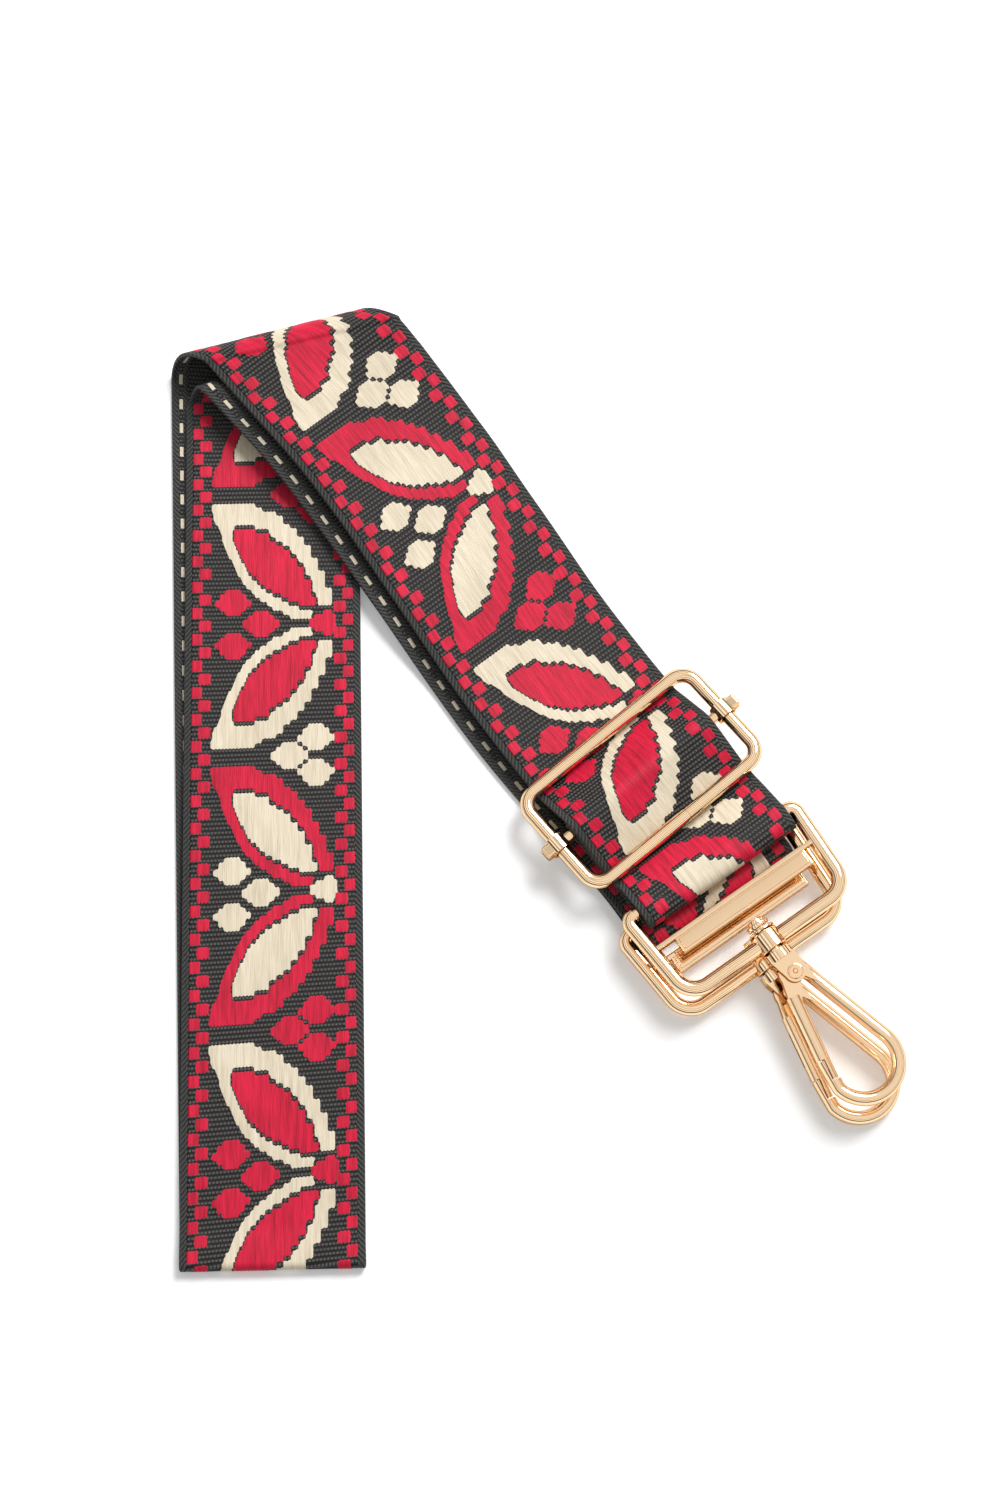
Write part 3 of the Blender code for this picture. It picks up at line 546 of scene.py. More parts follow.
# Steps of a dot, in millimetres: half its width and half its length there
dot_steps = ((2.2, 3.9), (3.7, 2.6), (5.3, 1.0))
# Steps of the bud between two leaves: where it starts and ends across, and half its length
bud_steps = ((10.7, 12.2, 1.3), (12.2, 14.3, 2.6), (14.3, 17.2, 3.9), (17.2, 17.9, 2.6))
# Rows of checks: where they start and end across, and the rib from the flower's middle where one
# starts
check_rows = ((-23.0, -20.0, 1.5), (-21.0, -17.5, -1.5), (17.5, 21.0, -3.5), (20.0, 23.0, -0.5))

GROUND, RED, CREAM, ROPE = range(4)


def in_leaf(outer, inner, across_place, height):
    """Whether places lie between two contours: the outer steps by a pair of strands and a rib."""
    place = across_place / MM
    pair = 2 * np.round(across_place / strand_width / 2) * strand_width / MM
    rib = (np.floor(height / rib_length) + 0.5) * rib_length / MM
    high = np.interp(pair, *zip(*outer))
    low = np.interp(place, *zip(*inner))
    inside = (place >= outer[0][0]) & (place <= outer[-1][0])
    return inside & (rib < high) & (rib > low)


def in_dot(across_place, along_place, centre):
    """Whether places lie in a stepped dot."""
    wide = abs(across_place / MM - centre[0])
    long = abs(along_place / MM - centre[1])
    inside = False
    for half_width, half_length in dot_steps:
        inside = inside | (wide < half_width) & (long < half_length)
    return inside


def thread_on_top(across_place, along_place):
    """Which thread shows on the front of the webbing at these places."""
    flower = np.round((along_place - first_flower) / motif_length)
    from_flower = along_place - first_flower - flower * motif_length
    border = np.where(flower % 2 == 0, CREAM, RED)
    heart = np.where(flower % 2 == 0, RED, CREAM)
    height = abs(from_flower)
    cell = np.where(in_leaf(leaf_outer, leaf_inner, across_place, height), border, GROUND)
    half = strand_width / 2
    for aside, ahead in ((0, rib_length), (0, -rib_length), (half, 0), (-half, 0)):
        beside_heart = in_leaf(heart_outer, heart_inner, across_place + aside, height + ahead)
        cell = np.where(beside_heart, GROUND, cell)
    cell = np.where(in_leaf(heart_outer, heart_inner, across_place, height), heart, cell)
    for start, end, half_length in bud_steps:
        inside = (across_place > start * MM) & (across_place < end * MM)
        cell = np.where(inside & (height < half_length * MM), heart, cell)
    for dot in flower_dots:
        cell = np.where(in_dot(across_place, from_flower, dot), heart, cell)
    gap = np.floor((along_place - first_flower) / motif_length)
    from_gap = along_place - first_flower - (gap + 0.5) * motif_length
    gap_colour = np.where(gap % 2 == 0, RED, CREAM)
    for dot in gap_dots:
        cell = np.where(in_dot(across_place, from_gap, dot), gap_colour, cell)
    for start, end, first_rib in check_rows:
        inside = (across_place > start * MM) & (across_place < end * MM)
        ribs = (along_place - first_flower) / rib_length - first_rib
        cell = np.where(inside & (ribs % check_pitch < check_ribs), RED, cell)
    return cell


def thread_on_back(across_place, along_place):
    """Which thread shows on the back: the ground, a dashed cream line and a cord near each edge."""
    ribs = (along_place - first_flower) / rib_length
    aside = abs(across_place)
    dash = (aside > dash_edges[0]) & (aside < dash_edges[1]) & (ribs % check_pitch < check_ribs)
    cord = (aside > cord_edges[0]) & (aside < cord_edges[1])
    return np.where(dash, CREAM, np.where(cord, ROPE, GROUND))


def ring_points():
    """The webbing's cross-section: across and height of each point, and what lies after it.

    It runs over the front from left to right, round the right selvedge's two cords, back over the
    back, and round the left selvedge. On the back the height is how far a point stands proud.
    """
    half = strand_count * strand_width / 2
    front = [(-half + step * strand_width / 2, 0, "front") for step in range(2 * strand_count)]
    cords = []
    for centre, angles in ((half + rope_radius * inner_cord_share, inner_cord_angles),
                           (web_width / 2 + outer_cord_overhang - rope_radius, outer_cord_angles)):
        for angle in map(math.radians, angles):
            cords.append((centre + rope_radius * math.cos(angle), rope_radius * math.sin(angle),
                          "cord"))
    right = [(half, 0, "cord")] + cords
    back = [(place * MM, proud * MM, "back") for place, proud in back_half]
    back += [(-place * MM, proud * MM, "back") for place, proud in back_half[::-1]]
    back[-1] = (back[-1][0], 0, "cord")
    left = [(-place, height, "cord") for place, height, _ in cords[::-1]]
    return front + right + back + left


def rib_rows(total):
    """Places of the mesh's rows along the webbing: rib boundaries and middles, finer at the fold."""
    half_rib = rib_length / 2
    start = first_flower % half_rib
    rows = np.arange(start, total - half_rib / 4, half_rib)
    extra = np.arange(fold_mark - fold_fine_run, fold_mark + fold_fine_run, half_rib)
    extra = start + (np.round((extra - start) / half_rib) + 0.5) * half_rib
    return np.unique(np.round(np.concatenate([[0], rows, extra, [total]]), 7))


def float_corners(cells):
    """For each corner of the front's cells, the floats among its four cells and where they lie."""
    floats = np.pad(cells != GROUND, 1, mode="edge").astype(int)
    near_left, near_right = floats[:-1, :-1], floats[1:, :-1]
    far_left, far_right = floats[:-1, 1:], floats[1:, 1:]
    count = near_left + near_right + far_left + far_right
    aside = near_right + far_right - near_left - far_left
    ahead = far_left + far_right - near_left - near_right
    return count, aside, ahead


def in_groove(rows):
    """Whether rows of the mesh lie in the groove between two ribs."""
    return abs(((rows - first_flower) / rib_length) % 1 - 0.5) > groove_limit


def front_relief(cells, rows):
    """Shifts of the front's points across and along that round the floats, and how deep each lies."""
    count, aside, ahead = float_corners(cells)
    on_strand = (np.arange(len(cells) + 1) % 2 == 0)[:, None]
    turn = np.where(count == 1, 1, np.where(count == 3, -1, 0))
    tip = np.where((count == 2) & (abs(ahead) == 2), np.where(on_strand, 1, -1) * ahead / 2, 0)
    shift_across = turn * aside * corner_round
    shift_along = turn * ahead * corner_round + tip * scallop
    ground_share = 1 - count / 4
    drop = ground_share * ground_drop + (count == 0) * in_groove(rows) * ground_groove
    drop = drop + (count == 4) * on_strand * float_groove
    return shift_across, shift_along, drop


def pattern_marks(at, end, place):
    """Place in the pattern at each known place along a line of the webbing."""
    skew = fold_tilt * place
    return np.array([0, arm_mark - at[2] + at[1], arm_mark,
                     arm_mark + (at[3] - at[2]) * top_stretch,
                     fold_mark - at[5] + at[4] - skew, fold_mark - skew,
                     fold_mark + at[6] - at[5], fold_mark + at[7] - at[5],
                     loop_mark, end])


def webbing_lines(left, right, arm_start, places, rows):
    """Points and the three directions of the mesh where lines along the webbing meet its rows.

    A line is the path of one place across the webbing, and the rows are set along it by its own
    length, so that the ribs keep their spacing where the webbing turns.
    """
    middle = (left + right) / 2
    steps = np.linalg.norm(np.diff(middle, axis=0), axis=1)
    run = np.concatenate([[0], np.cumsum(steps)])
    runs = np.array([tail_run, 0, top_visible_run, hidden_run, fold_run, tilt_run, left_visible_run])
    knots = np.concatenate([[0], run[arm_start] + runs, [run[-1] - loop_from_end, run[-1]]])
    sideways = (right - left) / np.linalg.norm(right - left, axis=1)[:, None]
    points = []
    normals = []
    asides = []
    for place in places:
        line = middle + (right - left) * place / web_width
        length = np.concatenate([[0], np.cumsum(np.linalg.norm(np.diff(line, axis=0), axis=1))])
        at = np.interp(knots, run, length)
        marks = pattern_marks(at, rows[-1], place)
        here = np.interp(np.interp(rows, marks, at), length, np.arange(len(line)))
        normal = np.cross(right - left, np.gradient(line, axis=0))
        normal /= np.linalg.norm(normal, axis=1)[:, None]
        low = np.floor(here).astype(int).clip(0, len(line) - 2)
        share = (here - low)[:, None]
        points.append(line[low] * (1 - share) + line[low + 1] * share)
        mixed = normal[low] * (1 - share) + normal[low + 1] * share
        normals.append(mixed / np.linalg.norm(mixed, axis=1)[:, None])
        asides.append(sideways[low])
    normals = np.array(normals)
    asides = np.array(asides)
    return np.array(points), normals, asides, np.cross(normals, asides)


def webbing_piece(left, right, arm_start, shift):
    """The woven webbing as one closed mesh, with a slot for each colour of thread."""
    ring = ring_points()
    places = np.array([place for place, _, _ in ring])
    kinds = [kind for _, _, kind in ring]
    middle = (left + right) / 2
    total = np.linalg.norm(np.diff(middle, axis=0), axis=1).sum()
    rows = rib_rows(loop_mark + loop_from_end)
    points, normals, asides, aheads = webbing_lines(left, right, arm_start, places, rows)
    middles = (rows[:-1] + rows[1:]) / 2
    following = np.roll(places, -1)
    slots = np.full((len(places), len(middles)), ROPE)
    for line, kind in enumerate(kinds):
        place = np.full(len(middles), (places[line] + following[line]) / 2)
        if kind != "cord":
            slots[line] = (thread_on_top if kind == "front" else thread_on_back)(place, middles)
    front_count = 2 * strand_count
    across_shift = np.zeros((len(places), len(rows)))
    along_shift = np.zeros_like(across_shift)
    heights = np.zeros_like(across_shift)
    moves = front_relief(slots[:front_count], rows)
    across_shift[:front_count + 1], along_shift[:front_count + 1], drop = moves
    across_shift[[0, front_count]] = 0
    heights[:front_count + 1] = web_thickness / 2 - drop
    for line in range(front_count + 1, len(ring)):
        heights[line] = ring[line][1]
        if "back" in (kinds[line], kinds[line - 1]):
            heights[line] = -web_thickness / 2 + in_groove(rows) * ground_groove - ring[line][1]
    verts = points + normals * heights[..., None] + asides * across_shift[..., None]
    verts = verts + aheads * along_shift[..., None] + np.array(shift)
    made = ring_mesh("webbing_weave", verts, slots)
    corners = np.zeros(len(made.data.loops), int)
    made.data.loops.foreach_get("vertex_index", corners)
    across_at = ((places[:, None] + across_shift) / MM).ravel()
    along_at = ((rows[None, :] + along_shift) / MM).ravel()
    layer = made.data.uv_layers.new(name="UVMap")
    layer.data.foreach_set("uv", np.stack([across_at[corners], along_at[corners]], axis=1).ravel())
    return made, total


def ring_mesh(name, verts, slots):
    """Closed tube from rings of points: one row of verts for each line along it."""
    count, length, _ = verts.shape
    index = np.arange(count * length).reshape(count, length)
    after = np.roll(index, -1, axis=0)
    quads = np.stack([index[:, :-1], after[:, :-1], after[:, 1:], index[:, 1:]], axis=-1)
    ends = [index[:, 0][::-1].tolist(), index[:, -1].tolist()]
    mesh = bpy.data.meshes.new(name)
    mesh.from_pydata(verts.reshape(-1, 3), [], quads.reshape(-1, 4).tolist() + ends)
    mesh.polygons.foreach_set("material_index", np.concatenate([slots.ravel(), [ROPE, ROPE]]))
    mesh.polygons.foreach_set("use_smooth", np.ones(len(mesh.polygons), bool))
    mesh.update()
    return add_object(name, mesh)


def add_object(name, data):
    """New object in the scene; the working ones below go once their mesh is read."""
    made = bpy.data.objects.new(name, data)
    bpy.context.scene.collection.objects.link(made)
    return made


class Shader:
    """Nodes of a material or of the world, with short calls to add and join them."""

    def __init__(self, owner, surface="Principled BSDF"):
        self.owner = owner
        owner.use_nodes = True
        self.tree = owner.node_tree
        self.surface = self.tree.nodes[surface]

    def feed(self, socket, value):
        """Give a socket a number, a colour or another node's output."""
        if isinstance(value, (int, float)):
            socket.default_value = value
        elif isinstance(value, tuple):
            socket.default_value = (*value, 1)
        else:
            self.tree.links.new(value, socket)

    def fill(self, made, **values):
        """Give a node's named settings and sockets their values."""
        for key, value in values.items():
            if hasattr(made, key):
                setattr(made, key, value)
            else:
                self.feed(made.inputs[key.replace("_", " ")], value)
        return made

    def node(self, kind, **values):
        return self.fill(self.tree.nodes.new(kind), **values)

    def math(self, operation, *values):
        made = self.node("ShaderNodeMath", operation=operation)
        for socket, value in zip(made.inputs, values):
            self.feed(socket, value)
        return made.outputs[0]

    def mix(self, share, first, second):
        """Blend of two colours."""
        made = self.node("ShaderNodeMix", data_type="RGBA")
        for index, value in ((0, share), (6, first), (7, second)):
            self.feed(made.inputs[index], value)
        return made.outputs[2]

    def spread(self, value, low, high, kind="LINEAR"):
        """The value from 0 at the low level to 1 at the high one, clamped."""
        made = self.node("ShaderNodeMapRange", interpolation_type=kind, From_Min=low, From_Max=high)
        self.feed(made.inputs["Value"], value)
        return made.outputs[0]

    def stretched_noise(self, source, scale, turn=0.0, detail=2.0, roughness=0.5):
        """Noise over a coordinate that is turned in its plane and scaled along its axes."""
        place = self.node("ShaderNodeMapping", Vector=source)
        place.inputs["Rotation"].default_value = (0, 0, math.radians(turn))
        place.inputs["Scale"].default_value = scale
        noise = self.node("ShaderNodeTexNoise", Vector=place.outputs[0], Scale=1.0, Detail=detail,
                          Roughness=roughness)
        return noise.outputs[0]

    def finish(self, relief, depth, **values):
        """Bump from a value, and the surface's own values."""
        bump = self.node("ShaderNodeBump", Strength=1.0, Distance=depth, Height=relief)
        self.fill(self.surface, Normal=bump.outputs[0], **values)
        return self.owner


def float_material(name, colour, shadow):
    """Satin floats: strands of fine threads that lean a little from the webbing's length. Their
    streaks blend the colour with a darker shadow copy: partly the threads' own tone, partly painted
    shade.
    """
    shader = Shader(bpy.data.materials.new(name))
    place = shader.node("ShaderNodeUVMap").outputs[0]
    threads = shader.stretched_noise(place, (3.4, 0.16, 1), turn=thread_lean, detail=3.0,
                                     roughness=0.6)
    bundles = shader.stretched_noise(place, (0.9, 0.07, 1), turn=thread_lean / 2, detail=1.0)
    patches = shader.stretched_noise(place, (0.09, 0.05, 1))
    tone = shader.math("MULTIPLY_ADD", threads, 0.8, 0.16)
    for noise, weight in ((bundles, 0.7), (patches, 0.4)):
        centred = shader.math("SUBTRACT", noise, 0.5)
        tone = shader.math("ADD", tone, shader.math("MULTIPLY", centred, weight))
    return shader.finish(threads, 0.2 * MM,
                         Base_Color=shader.mix(shader.spread(tone, 0.2, 0.72), shadow, colour),
                         Roughness=shader.math("MULTIPLY_ADD", threads, 0.3, 0.42),
                         Specular_IOR_Level=0.25)


def ground_material(name, colour, shadow):
    """Ribbed ground: thick ribs with dark grooves between them, divided into short thread crowns. The
    grooves and the gaps between crowns are painted shade, in the shadow colour.
    """
    shader = Shader(bpy.data.materials.new(name))
    place = shader.node("ShaderNodeUVMap").outputs[0]
    split = shader.node("ShaderNodeSeparateXYZ", Vector=place)
    ahead = shader.math("SUBTRACT", split.outputs[1], first_flower / MM)
    ribs = shader.math("DIVIDE", ahead, rib_length / MM)
    turned_row = shader.math("MULTIPLY", shader.math("FLOOR", ribs), 0.5)
    aside = shader.math("MULTIPLY", split.outputs[0], MM / strand_width)
    crown = rounded_wave(shader, ribs, 0.2, 0.85)
    bead = rounded_wave(shader, shader.math("ADD", aside, turned_row), -0.15, 0.7)
    fuzz = shader.stretched_noise(place, (1.1, 4.0, 1), detail=4.0, roughness=0.7)
    share = shader.math("MULTIPLY", shader.math("MULTIPLY", crown, bead),
                        shader.math("MULTIPLY_ADD", fuzz, 1.5, 0.15))
    return shader.finish(share, 0.3 * MM, Base_Color=shader.mix(share, shadow, colour),
                         Roughness=0.6, Specular_IOR_Level=0.3)


def rounded_wave(shader, count, low, high):
    """Wave from 0 at whole numbers to 1 between them, clamped between two of its levels."""
    share = shader.math("ABSOLUTE", shader.math("SUBTRACT", shader.math("FRACT", count), 0.5))
    wave = shader.math("SUBTRACT", 1.0, shader.math("MULTIPLY", share, 2.0))
    return shader.spread(wave, low, high, "SMOOTHSTEP")


def rope_material(name, colour, shadow):
    """Twisted selvedge cords: slanting plies, with painted shade in the grooves between them, in the
    shadow colour.
    """
    shader = Shader(bpy.data.materials.new(name))
    place = shader.node("ShaderNodeUVMap").outputs[0]
    split = shader.node("ShaderNodeSeparateXYZ", Vector=place)
    slant = shader.math("MULTIPLY", shader.math("ABSOLUTE", split.outputs[0]), ply_slant)
    turns = shader.math("ADD", slant, split.outputs[1])
    phase = shader.math("MULTIPLY", turns, math.pi / (ply_pitch / MM))
    ply = shader.math("ABSOLUTE", shader.math("SINE", phase))
    fuzz = shader.stretched_noise(place, (5.0, 3.0, 1), turn=40, detail=3.0, roughness=0.7)
    share = shader.math("MULTIPLY", ply, shader.math("MULTIPLY_ADD", fuzz, 0.8, 0.5))
    return shader.finish(share, 0.35 * MM, Base_Color=shader.mix(share, shadow, colour),
                         Roughness=0.6, Specular_IOR_Level=0.4)


def gold_material(name, colour, warm, gloss):
    """Polished pale gold plate with faint handling marks and a slightly warmer tone in patches."""
    shader = Shader(bpy.data.materials.new(name))
    place = shader.node("ShaderNodeTexCoord").outputs["Object"]
    patches = shader.stretched_noise(place, (60, 60, 60))
    marks = shader.stretched_noise(place, (900, 2600, 900), detail=4.0, roughness=0.65)
    return shader.finish(marks, 0.003 * MM, Base_Color=shader.mix(patches, warm, colour),
                         Roughness=shader.math("MULTIPLY_ADD", marks, 0.06, gloss), Metallic=1.0,
                         Specular_Tint=(0.62, 0.42, 0.25))


def steel_material(name):
    """Drawn steel wire."""
    shader = Shader(bpy.data.materials.new(name))
    place = shader.node("ShaderNodeTexCoord").outputs["Object"]
    drawn = shader.stretched_noise(place, (4000, 4000, 600), detail=3.0)
    tone = shader.mix(drawn, (0.42, 0.41, 0.4), (0.68, 0.67, 0.65))
    return shader.finish(drawn, 0.01 * MM, Base_Color=tone, Metallic=1.0, Roughness=0.3)


def mesh_tool(name, shape):
    """Working object from a bmesh."""
    mesh = bpy.data.meshes.new(name)
    shape.to_mesh(mesh)
    shape.free()
    return add_object(name, mesh)


def cylinder(radius, start, end, segments=turned_steps):
    """Solid cylinder between two points."""
    start = Vector(start)
    end = Vector(end)
    turn = (end - start).to_track_quat("Z", "Y").to_matrix().to_4x4()
    shape = bmesh.new()
    bmesh.ops.create_cone(
        shape, cap_ends=True, segments=segments, radius1=radius, radius2=radius,
        depth=(end - start).length, matrix=Matrix.Translation((start + end) / 2) @ turn,
    )
    return mesh_tool("cylinder", shape)


def box(low, high, turn=0.0, pivot=(0, 0, 0), rounding=0.0):
    """Box between two corners, turned about Z round a pivot, its edges rounded."""
    low = Vector(low)
    high = Vector(high)
    shape = bmesh.new()
    bmesh.ops.create_cube(shape, size=1)
    bmesh.ops.transform(shape, matrix=Matrix.Diagonal((*(high - low), 1)), verts=shape.verts)
    bmesh.ops.translate(shape, vec=(low + high) / 2, verts=shape.verts)
    if rounding:
        bmesh.ops.bevel(shape, geom=shape.edges[:], offset=rounding, segments=4, profile=0.5,
                        affect="EDGES")
    spin = Matrix.Translation(pivot) @ Matrix.Rotation(math.radians(turn), 4, "Z")
    bmesh.ops.transform(shape, matrix=spin @ Matrix.Translation(-Vector(pivot)), verts=shape.verts)
    return mesh_tool("box", shape)


def read_mesh(made, flattening=1.0):
    """Evaluated mesh of a working object with its caps welded; the object is removed."""
    bpy.context.view_layer.update()
    graph = bpy.context.evaluated_depsgraph_get()
    mesh = bpy.data.meshes.new_from_object(made.evaluated_get(graph))
    mesh.transform(Matrix.Diagonal((1, 1, flattening, 1)) @ made.matrix_world)
    shape = bmesh.new()
    shape.from_mesh(mesh)
    bmesh.ops.remove_doubles(shape, verts=shape.verts, dist=weld_distance)
    bmesh.ops.recalc_face_normals(shape, faces=shape.faces)
    shape.to_mesh(mesh)
    shape.free()
    bpy.data.objects.remove(made)
    return mesh


def curve_tool(name, points, cyclic, flattening=1.0, **settings):
    """Solid from a curve of straight runs."""
    curve = bpy.data.curves.new(name, "CURVE")
    for key, value in settings.items():
        setattr(curve, key, value)
    spline = curve.splines.new("POLY")
    spline.points.add(len(points) - 1)
    for point, place in zip(spline.points, points):
        point.co = (*place, 1)
    spline.use_cyclic_u = cyclic
    return add_object(name, read_mesh(add_object(name, curve), flattening))


def rod(points, radius, cyclic=False, flattening=1.0):
    """Round rod along points."""
    return curve_tool("rod", points, cyclic, flattening, dimensions="3D", bevel_depth=radius,
                      bevel_resolution=rod_resolution, use_fill_caps=not cyclic)


def plate(outline, half_thickness):
    """Flat outline in XY with a thickness about z = 0."""
    return curve_tool("plate", [(*place[:2], 0) for place in outline], True, dimensions="2D",
                      fill_mode="BOTH", extrude=half_thickness)


def turned(profile):
    """Body turned about the Y axis from (radius, y) points that start and end on the axis."""
    mesh = bpy.data.meshes.new("turned")
    points = [(radius, place, 0) for radius, place in profile]
    mesh.from_pydata(points, [(i, i + 1) for i in range(len(points) - 1)], [])
    made = add_object("turned", mesh)
    screw = made.modifiers.new("turn", "SCREW")
    screw.axis = "Y"
    screw.steps = turned_steps
    screw.render_steps = turned_steps
    screw.use_merge_vertices = True
    screw.merge_threshold = weld_distance
    return add_object("turned", read_mesh(made))


def fuse(solids, cuts=()):
    """Union of the solids less the cuts, as one mesh."""
    base = solids[0]
    for operation, tools in (("UNION", solids[1:]), ("DIFFERENCE", cuts)):
        for other in tools:
            step = base.modifiers.new(operation, "BOOLEAN")
            step.operation = operation
            step.object = other
    mesh = read_mesh(base)
    for other in (*solids[1:], *cuts):
        bpy.data.objects.remove(other)
    return mesh


def arc(centre, radius, start, end, count):
    """Points on an arc in XY, from one angle to another."""
    points = []
    for step in range(count + 1):
        angle = math.radians(start + (end - start) * step / count)
        points.append((centre[0] + radius * math.cos(angle), centre[1] + radius * math.sin(angle), 0))
    return points


def ring_cut(radius, start, end):
    """Ring that cuts a thin seam round a rod."""
    outer = cylinder(radius + overrun, start, end)
    inner = cylinder(radius - seam_width, Vector(start) * 1.5 - Vector(end) * 0.5,
                     Vector(end) * 1.5 - Vector(start) * 0.5)
    return add_object("ring", fuse([outer], [inner]))


def slider_frame_mesh():
    """Closed wire rectangle with round corners and the seam where the wire's ends meet."""
    x = slider_side - slider_corner_radius
    y = slider_reach - slider_corner_radius
    points = []
    for centre, start in (((x, y), 0), ((-x, y), 90), ((-x, -y), 180), ((x, -y), 270)):
        points += arc(centre, slider_corner_radius, start, start + 90, 24)
    seam = ring_cut(slider_wire_radius, (slider_seam_place, -slider_reach, 0),
                    (slider_seam_place + seam_width, -slider_reach, 0))
    return fuse([rod(points, slider_wire_radius, cyclic=True)], [seam])


def slider_bar_mesh():
    """Centre bar with a clasp round each side wire of the frame, and a short tongue beyond it."""
    inner = slider_wire_radius + clearance
    outer = inner + clasp_wall
    half = clasp_length / 2
    solids = [cylinder(slider_bar_radius, (-slider_side, 0, 0), (slider_side, 0, 0), bar_steps)]
    cuts = []
    for side in (-slider_side, slider_side):
        solids.append(cylinder(outer, (side, -half, 0), (side, half, 0)))
        tip = math.copysign(slider_side + clasp_tongue_reach, side)
        solids.append(box((min(side, tip), -half + clearance, -slider_bar_radius),
                          (max(side, tip), half - clearance, clasp_tongue_height),
                          rounding=edge_round * 2))
        cuts.append(cylinder(inner, (side, -half - overrun, 0), (side, half + overrun, 0)))
    return fuse(solids, cuts)


def hook_frame_mesh():
    """Rod frame turned in to its crossbar, flat bar with a bare panel, and the swivel's boss."""
    low_offset = rod_offset - frame_taper
    ledge_offset = rod_offset - frame_taper * slot_reach / frame_reach
    corner = low_offset - frame_corner_radius
    low = -frame_reach + frame_corner_radius
    outline = arc((ear_turn - rod_offset, -ear_turn), ear_turn, 90, 180, 12)
    outline += arc((-corner, low), frame_corner_radius, 180, 270, 28)
    outline += arc((corner, low), frame_corner_radius, 270, 360, 28)
    outline += arc((rod_offset - ear_turn, -ear_turn), ear_turn, 0, 90, 12)
    panel_left = -low_offset + frame_rod_radius + panel_left_gap
    panel_right = low_offset - frame_rod_radius - panel_right_gap
    ledge_low = -slot_reach - ledge_width
    panel_low = ledge_low - panel_width
    half_ledge = ledge_thickness / 2
    half_panel = panel_thickness / 2
    half_relief = half_panel + panel_relief
    half_boss = boss_length / 2
    solids = [
        rod(outline, frame_rod_radius),
        cylinder(crossbar_radius, (-rod_offset, 0, 0), (rod_offset, 0, 0), bar_steps),
        box((-ledge_offset, ledge_low, -half_ledge), (ledge_offset, -slot_reach, half_ledge),
            rounding=edge_round),
        box((panel_left, panel_low, -half_panel), (panel_right, ledge_low + edge_round, half_panel),
            rounding=edge_round),
        box((panel_left + panel_border, panel_low + panel_border, -half_relief),
            (panel_right - panel_border, ledge_low - panel_border / 2, half_relief),
            rounding=panel_relief * 0.8),
        turned_boss(half_boss),
    ]
    bore = cylinder(bore_radius, (0, -frame_reach - half_boss - overrun, 0),
                    (0, -frame_reach + half_boss + overrun, 0))
    return fuse(solids, [bore])


def turned_boss(half):
    """The swivel's boss, with rounded rims."""
    profile = [(0, -half), (boss_radius - edge_round, -half)]
    profile += rim_arc((boss_radius - edge_round, -half + edge_round), edge_round, -90, 0)
    profile += rim_arc((boss_radius - edge_round, half - edge_round), edge_round, 0, 90)
    profile.append((0, half))
    made = turned(profile)
    made.data.transform(Matrix.Translation((0, -frame_reach, 0)))
    return made


def rim_arc(centre, radius, start, end):
    """Points of a rounded rim in a turned profile."""
    return [point[:2] for point in arc(centre, radius, start, end, 5)]


def swivel_pin_mesh():
    """Stem with its head in the frame's window, peened over a hollow end."""
    under = boss_length + washer_thickness + 3 * clearance + 2 * pin_tilt_room
    top = under + head_thickness
    peak = top + peen_height
    shaft = -socket_depth + clearance
    rim = (peen_radius - peen_bore_radius) / 2
    profile = [(0, peak - peen_bore_depth), (peen_bore_radius, peak - peen_bore_depth)]
    profile += rim_arc((peen_bore_radius + rim, peak - rim), rim, 180, 0)
    profile.append((peen_radius, top))
    profile += rim_arc((head_radius - edge_round, top - edge_round), edge_round, 90, 0)
    profile += rim_arc((head_radius - edge_round, under + edge_round), edge_round, 0, -90)
    profile += [(pin_radius, under), (pin_radius, shaft), (0, shaft)]
    return fuse([turned(profile)])


def swivel_washer_mesh():
    """Thin washer on the boss, under the head of the pin, with rounded rims."""
    low = boss_length / 2 + clearance
    top = low + washer_thickness
    half = washer_thickness / 2
    profile = [(0, low), (washer_radius - half, low)]
    profile += rim_arc((washer_radius - half, low + half), half, -90, 90)
    profile.append((0, top))
    bore = cylinder(bore_radius, (0, low - overrun, 0), (0, top + overrun, 0))
    return fuse([turned(profile)], [bore])


def side_line(reach, lean, side):
    """Point on a straight side of the hook, a distance below the face of the neck."""
    angle = math.radians(lean)
    low = Vector((eye_centre[0] + side * eye_radius * math.cos(angle),
                  eye_centre[1] + eye_radius * math.sin(angle), 0))
    rise = -reach - low.y
    return Vector((low.x - side * rise * math.tan(angle), -reach, 0))


def gate_line(reach):
    """Point on the gate's centre line."""
    return side_line(reach, gate_lean, -1)


def arm_line(reach):
    """Point on the fixed arm's centre line."""
    return side_line(reach, arm_lean, 1)


def knuckle_outline(hub, knuckle, widen):
    """Round hub with a larger sector on the gate's side, widened by some degrees at its end."""
    return (arc(rivet, knuckle, knuckle_start, knuckle_end + widen, 40)
            + arc(rivet, hub, knuckle_end + widen, knuckle_start + 360, 40))


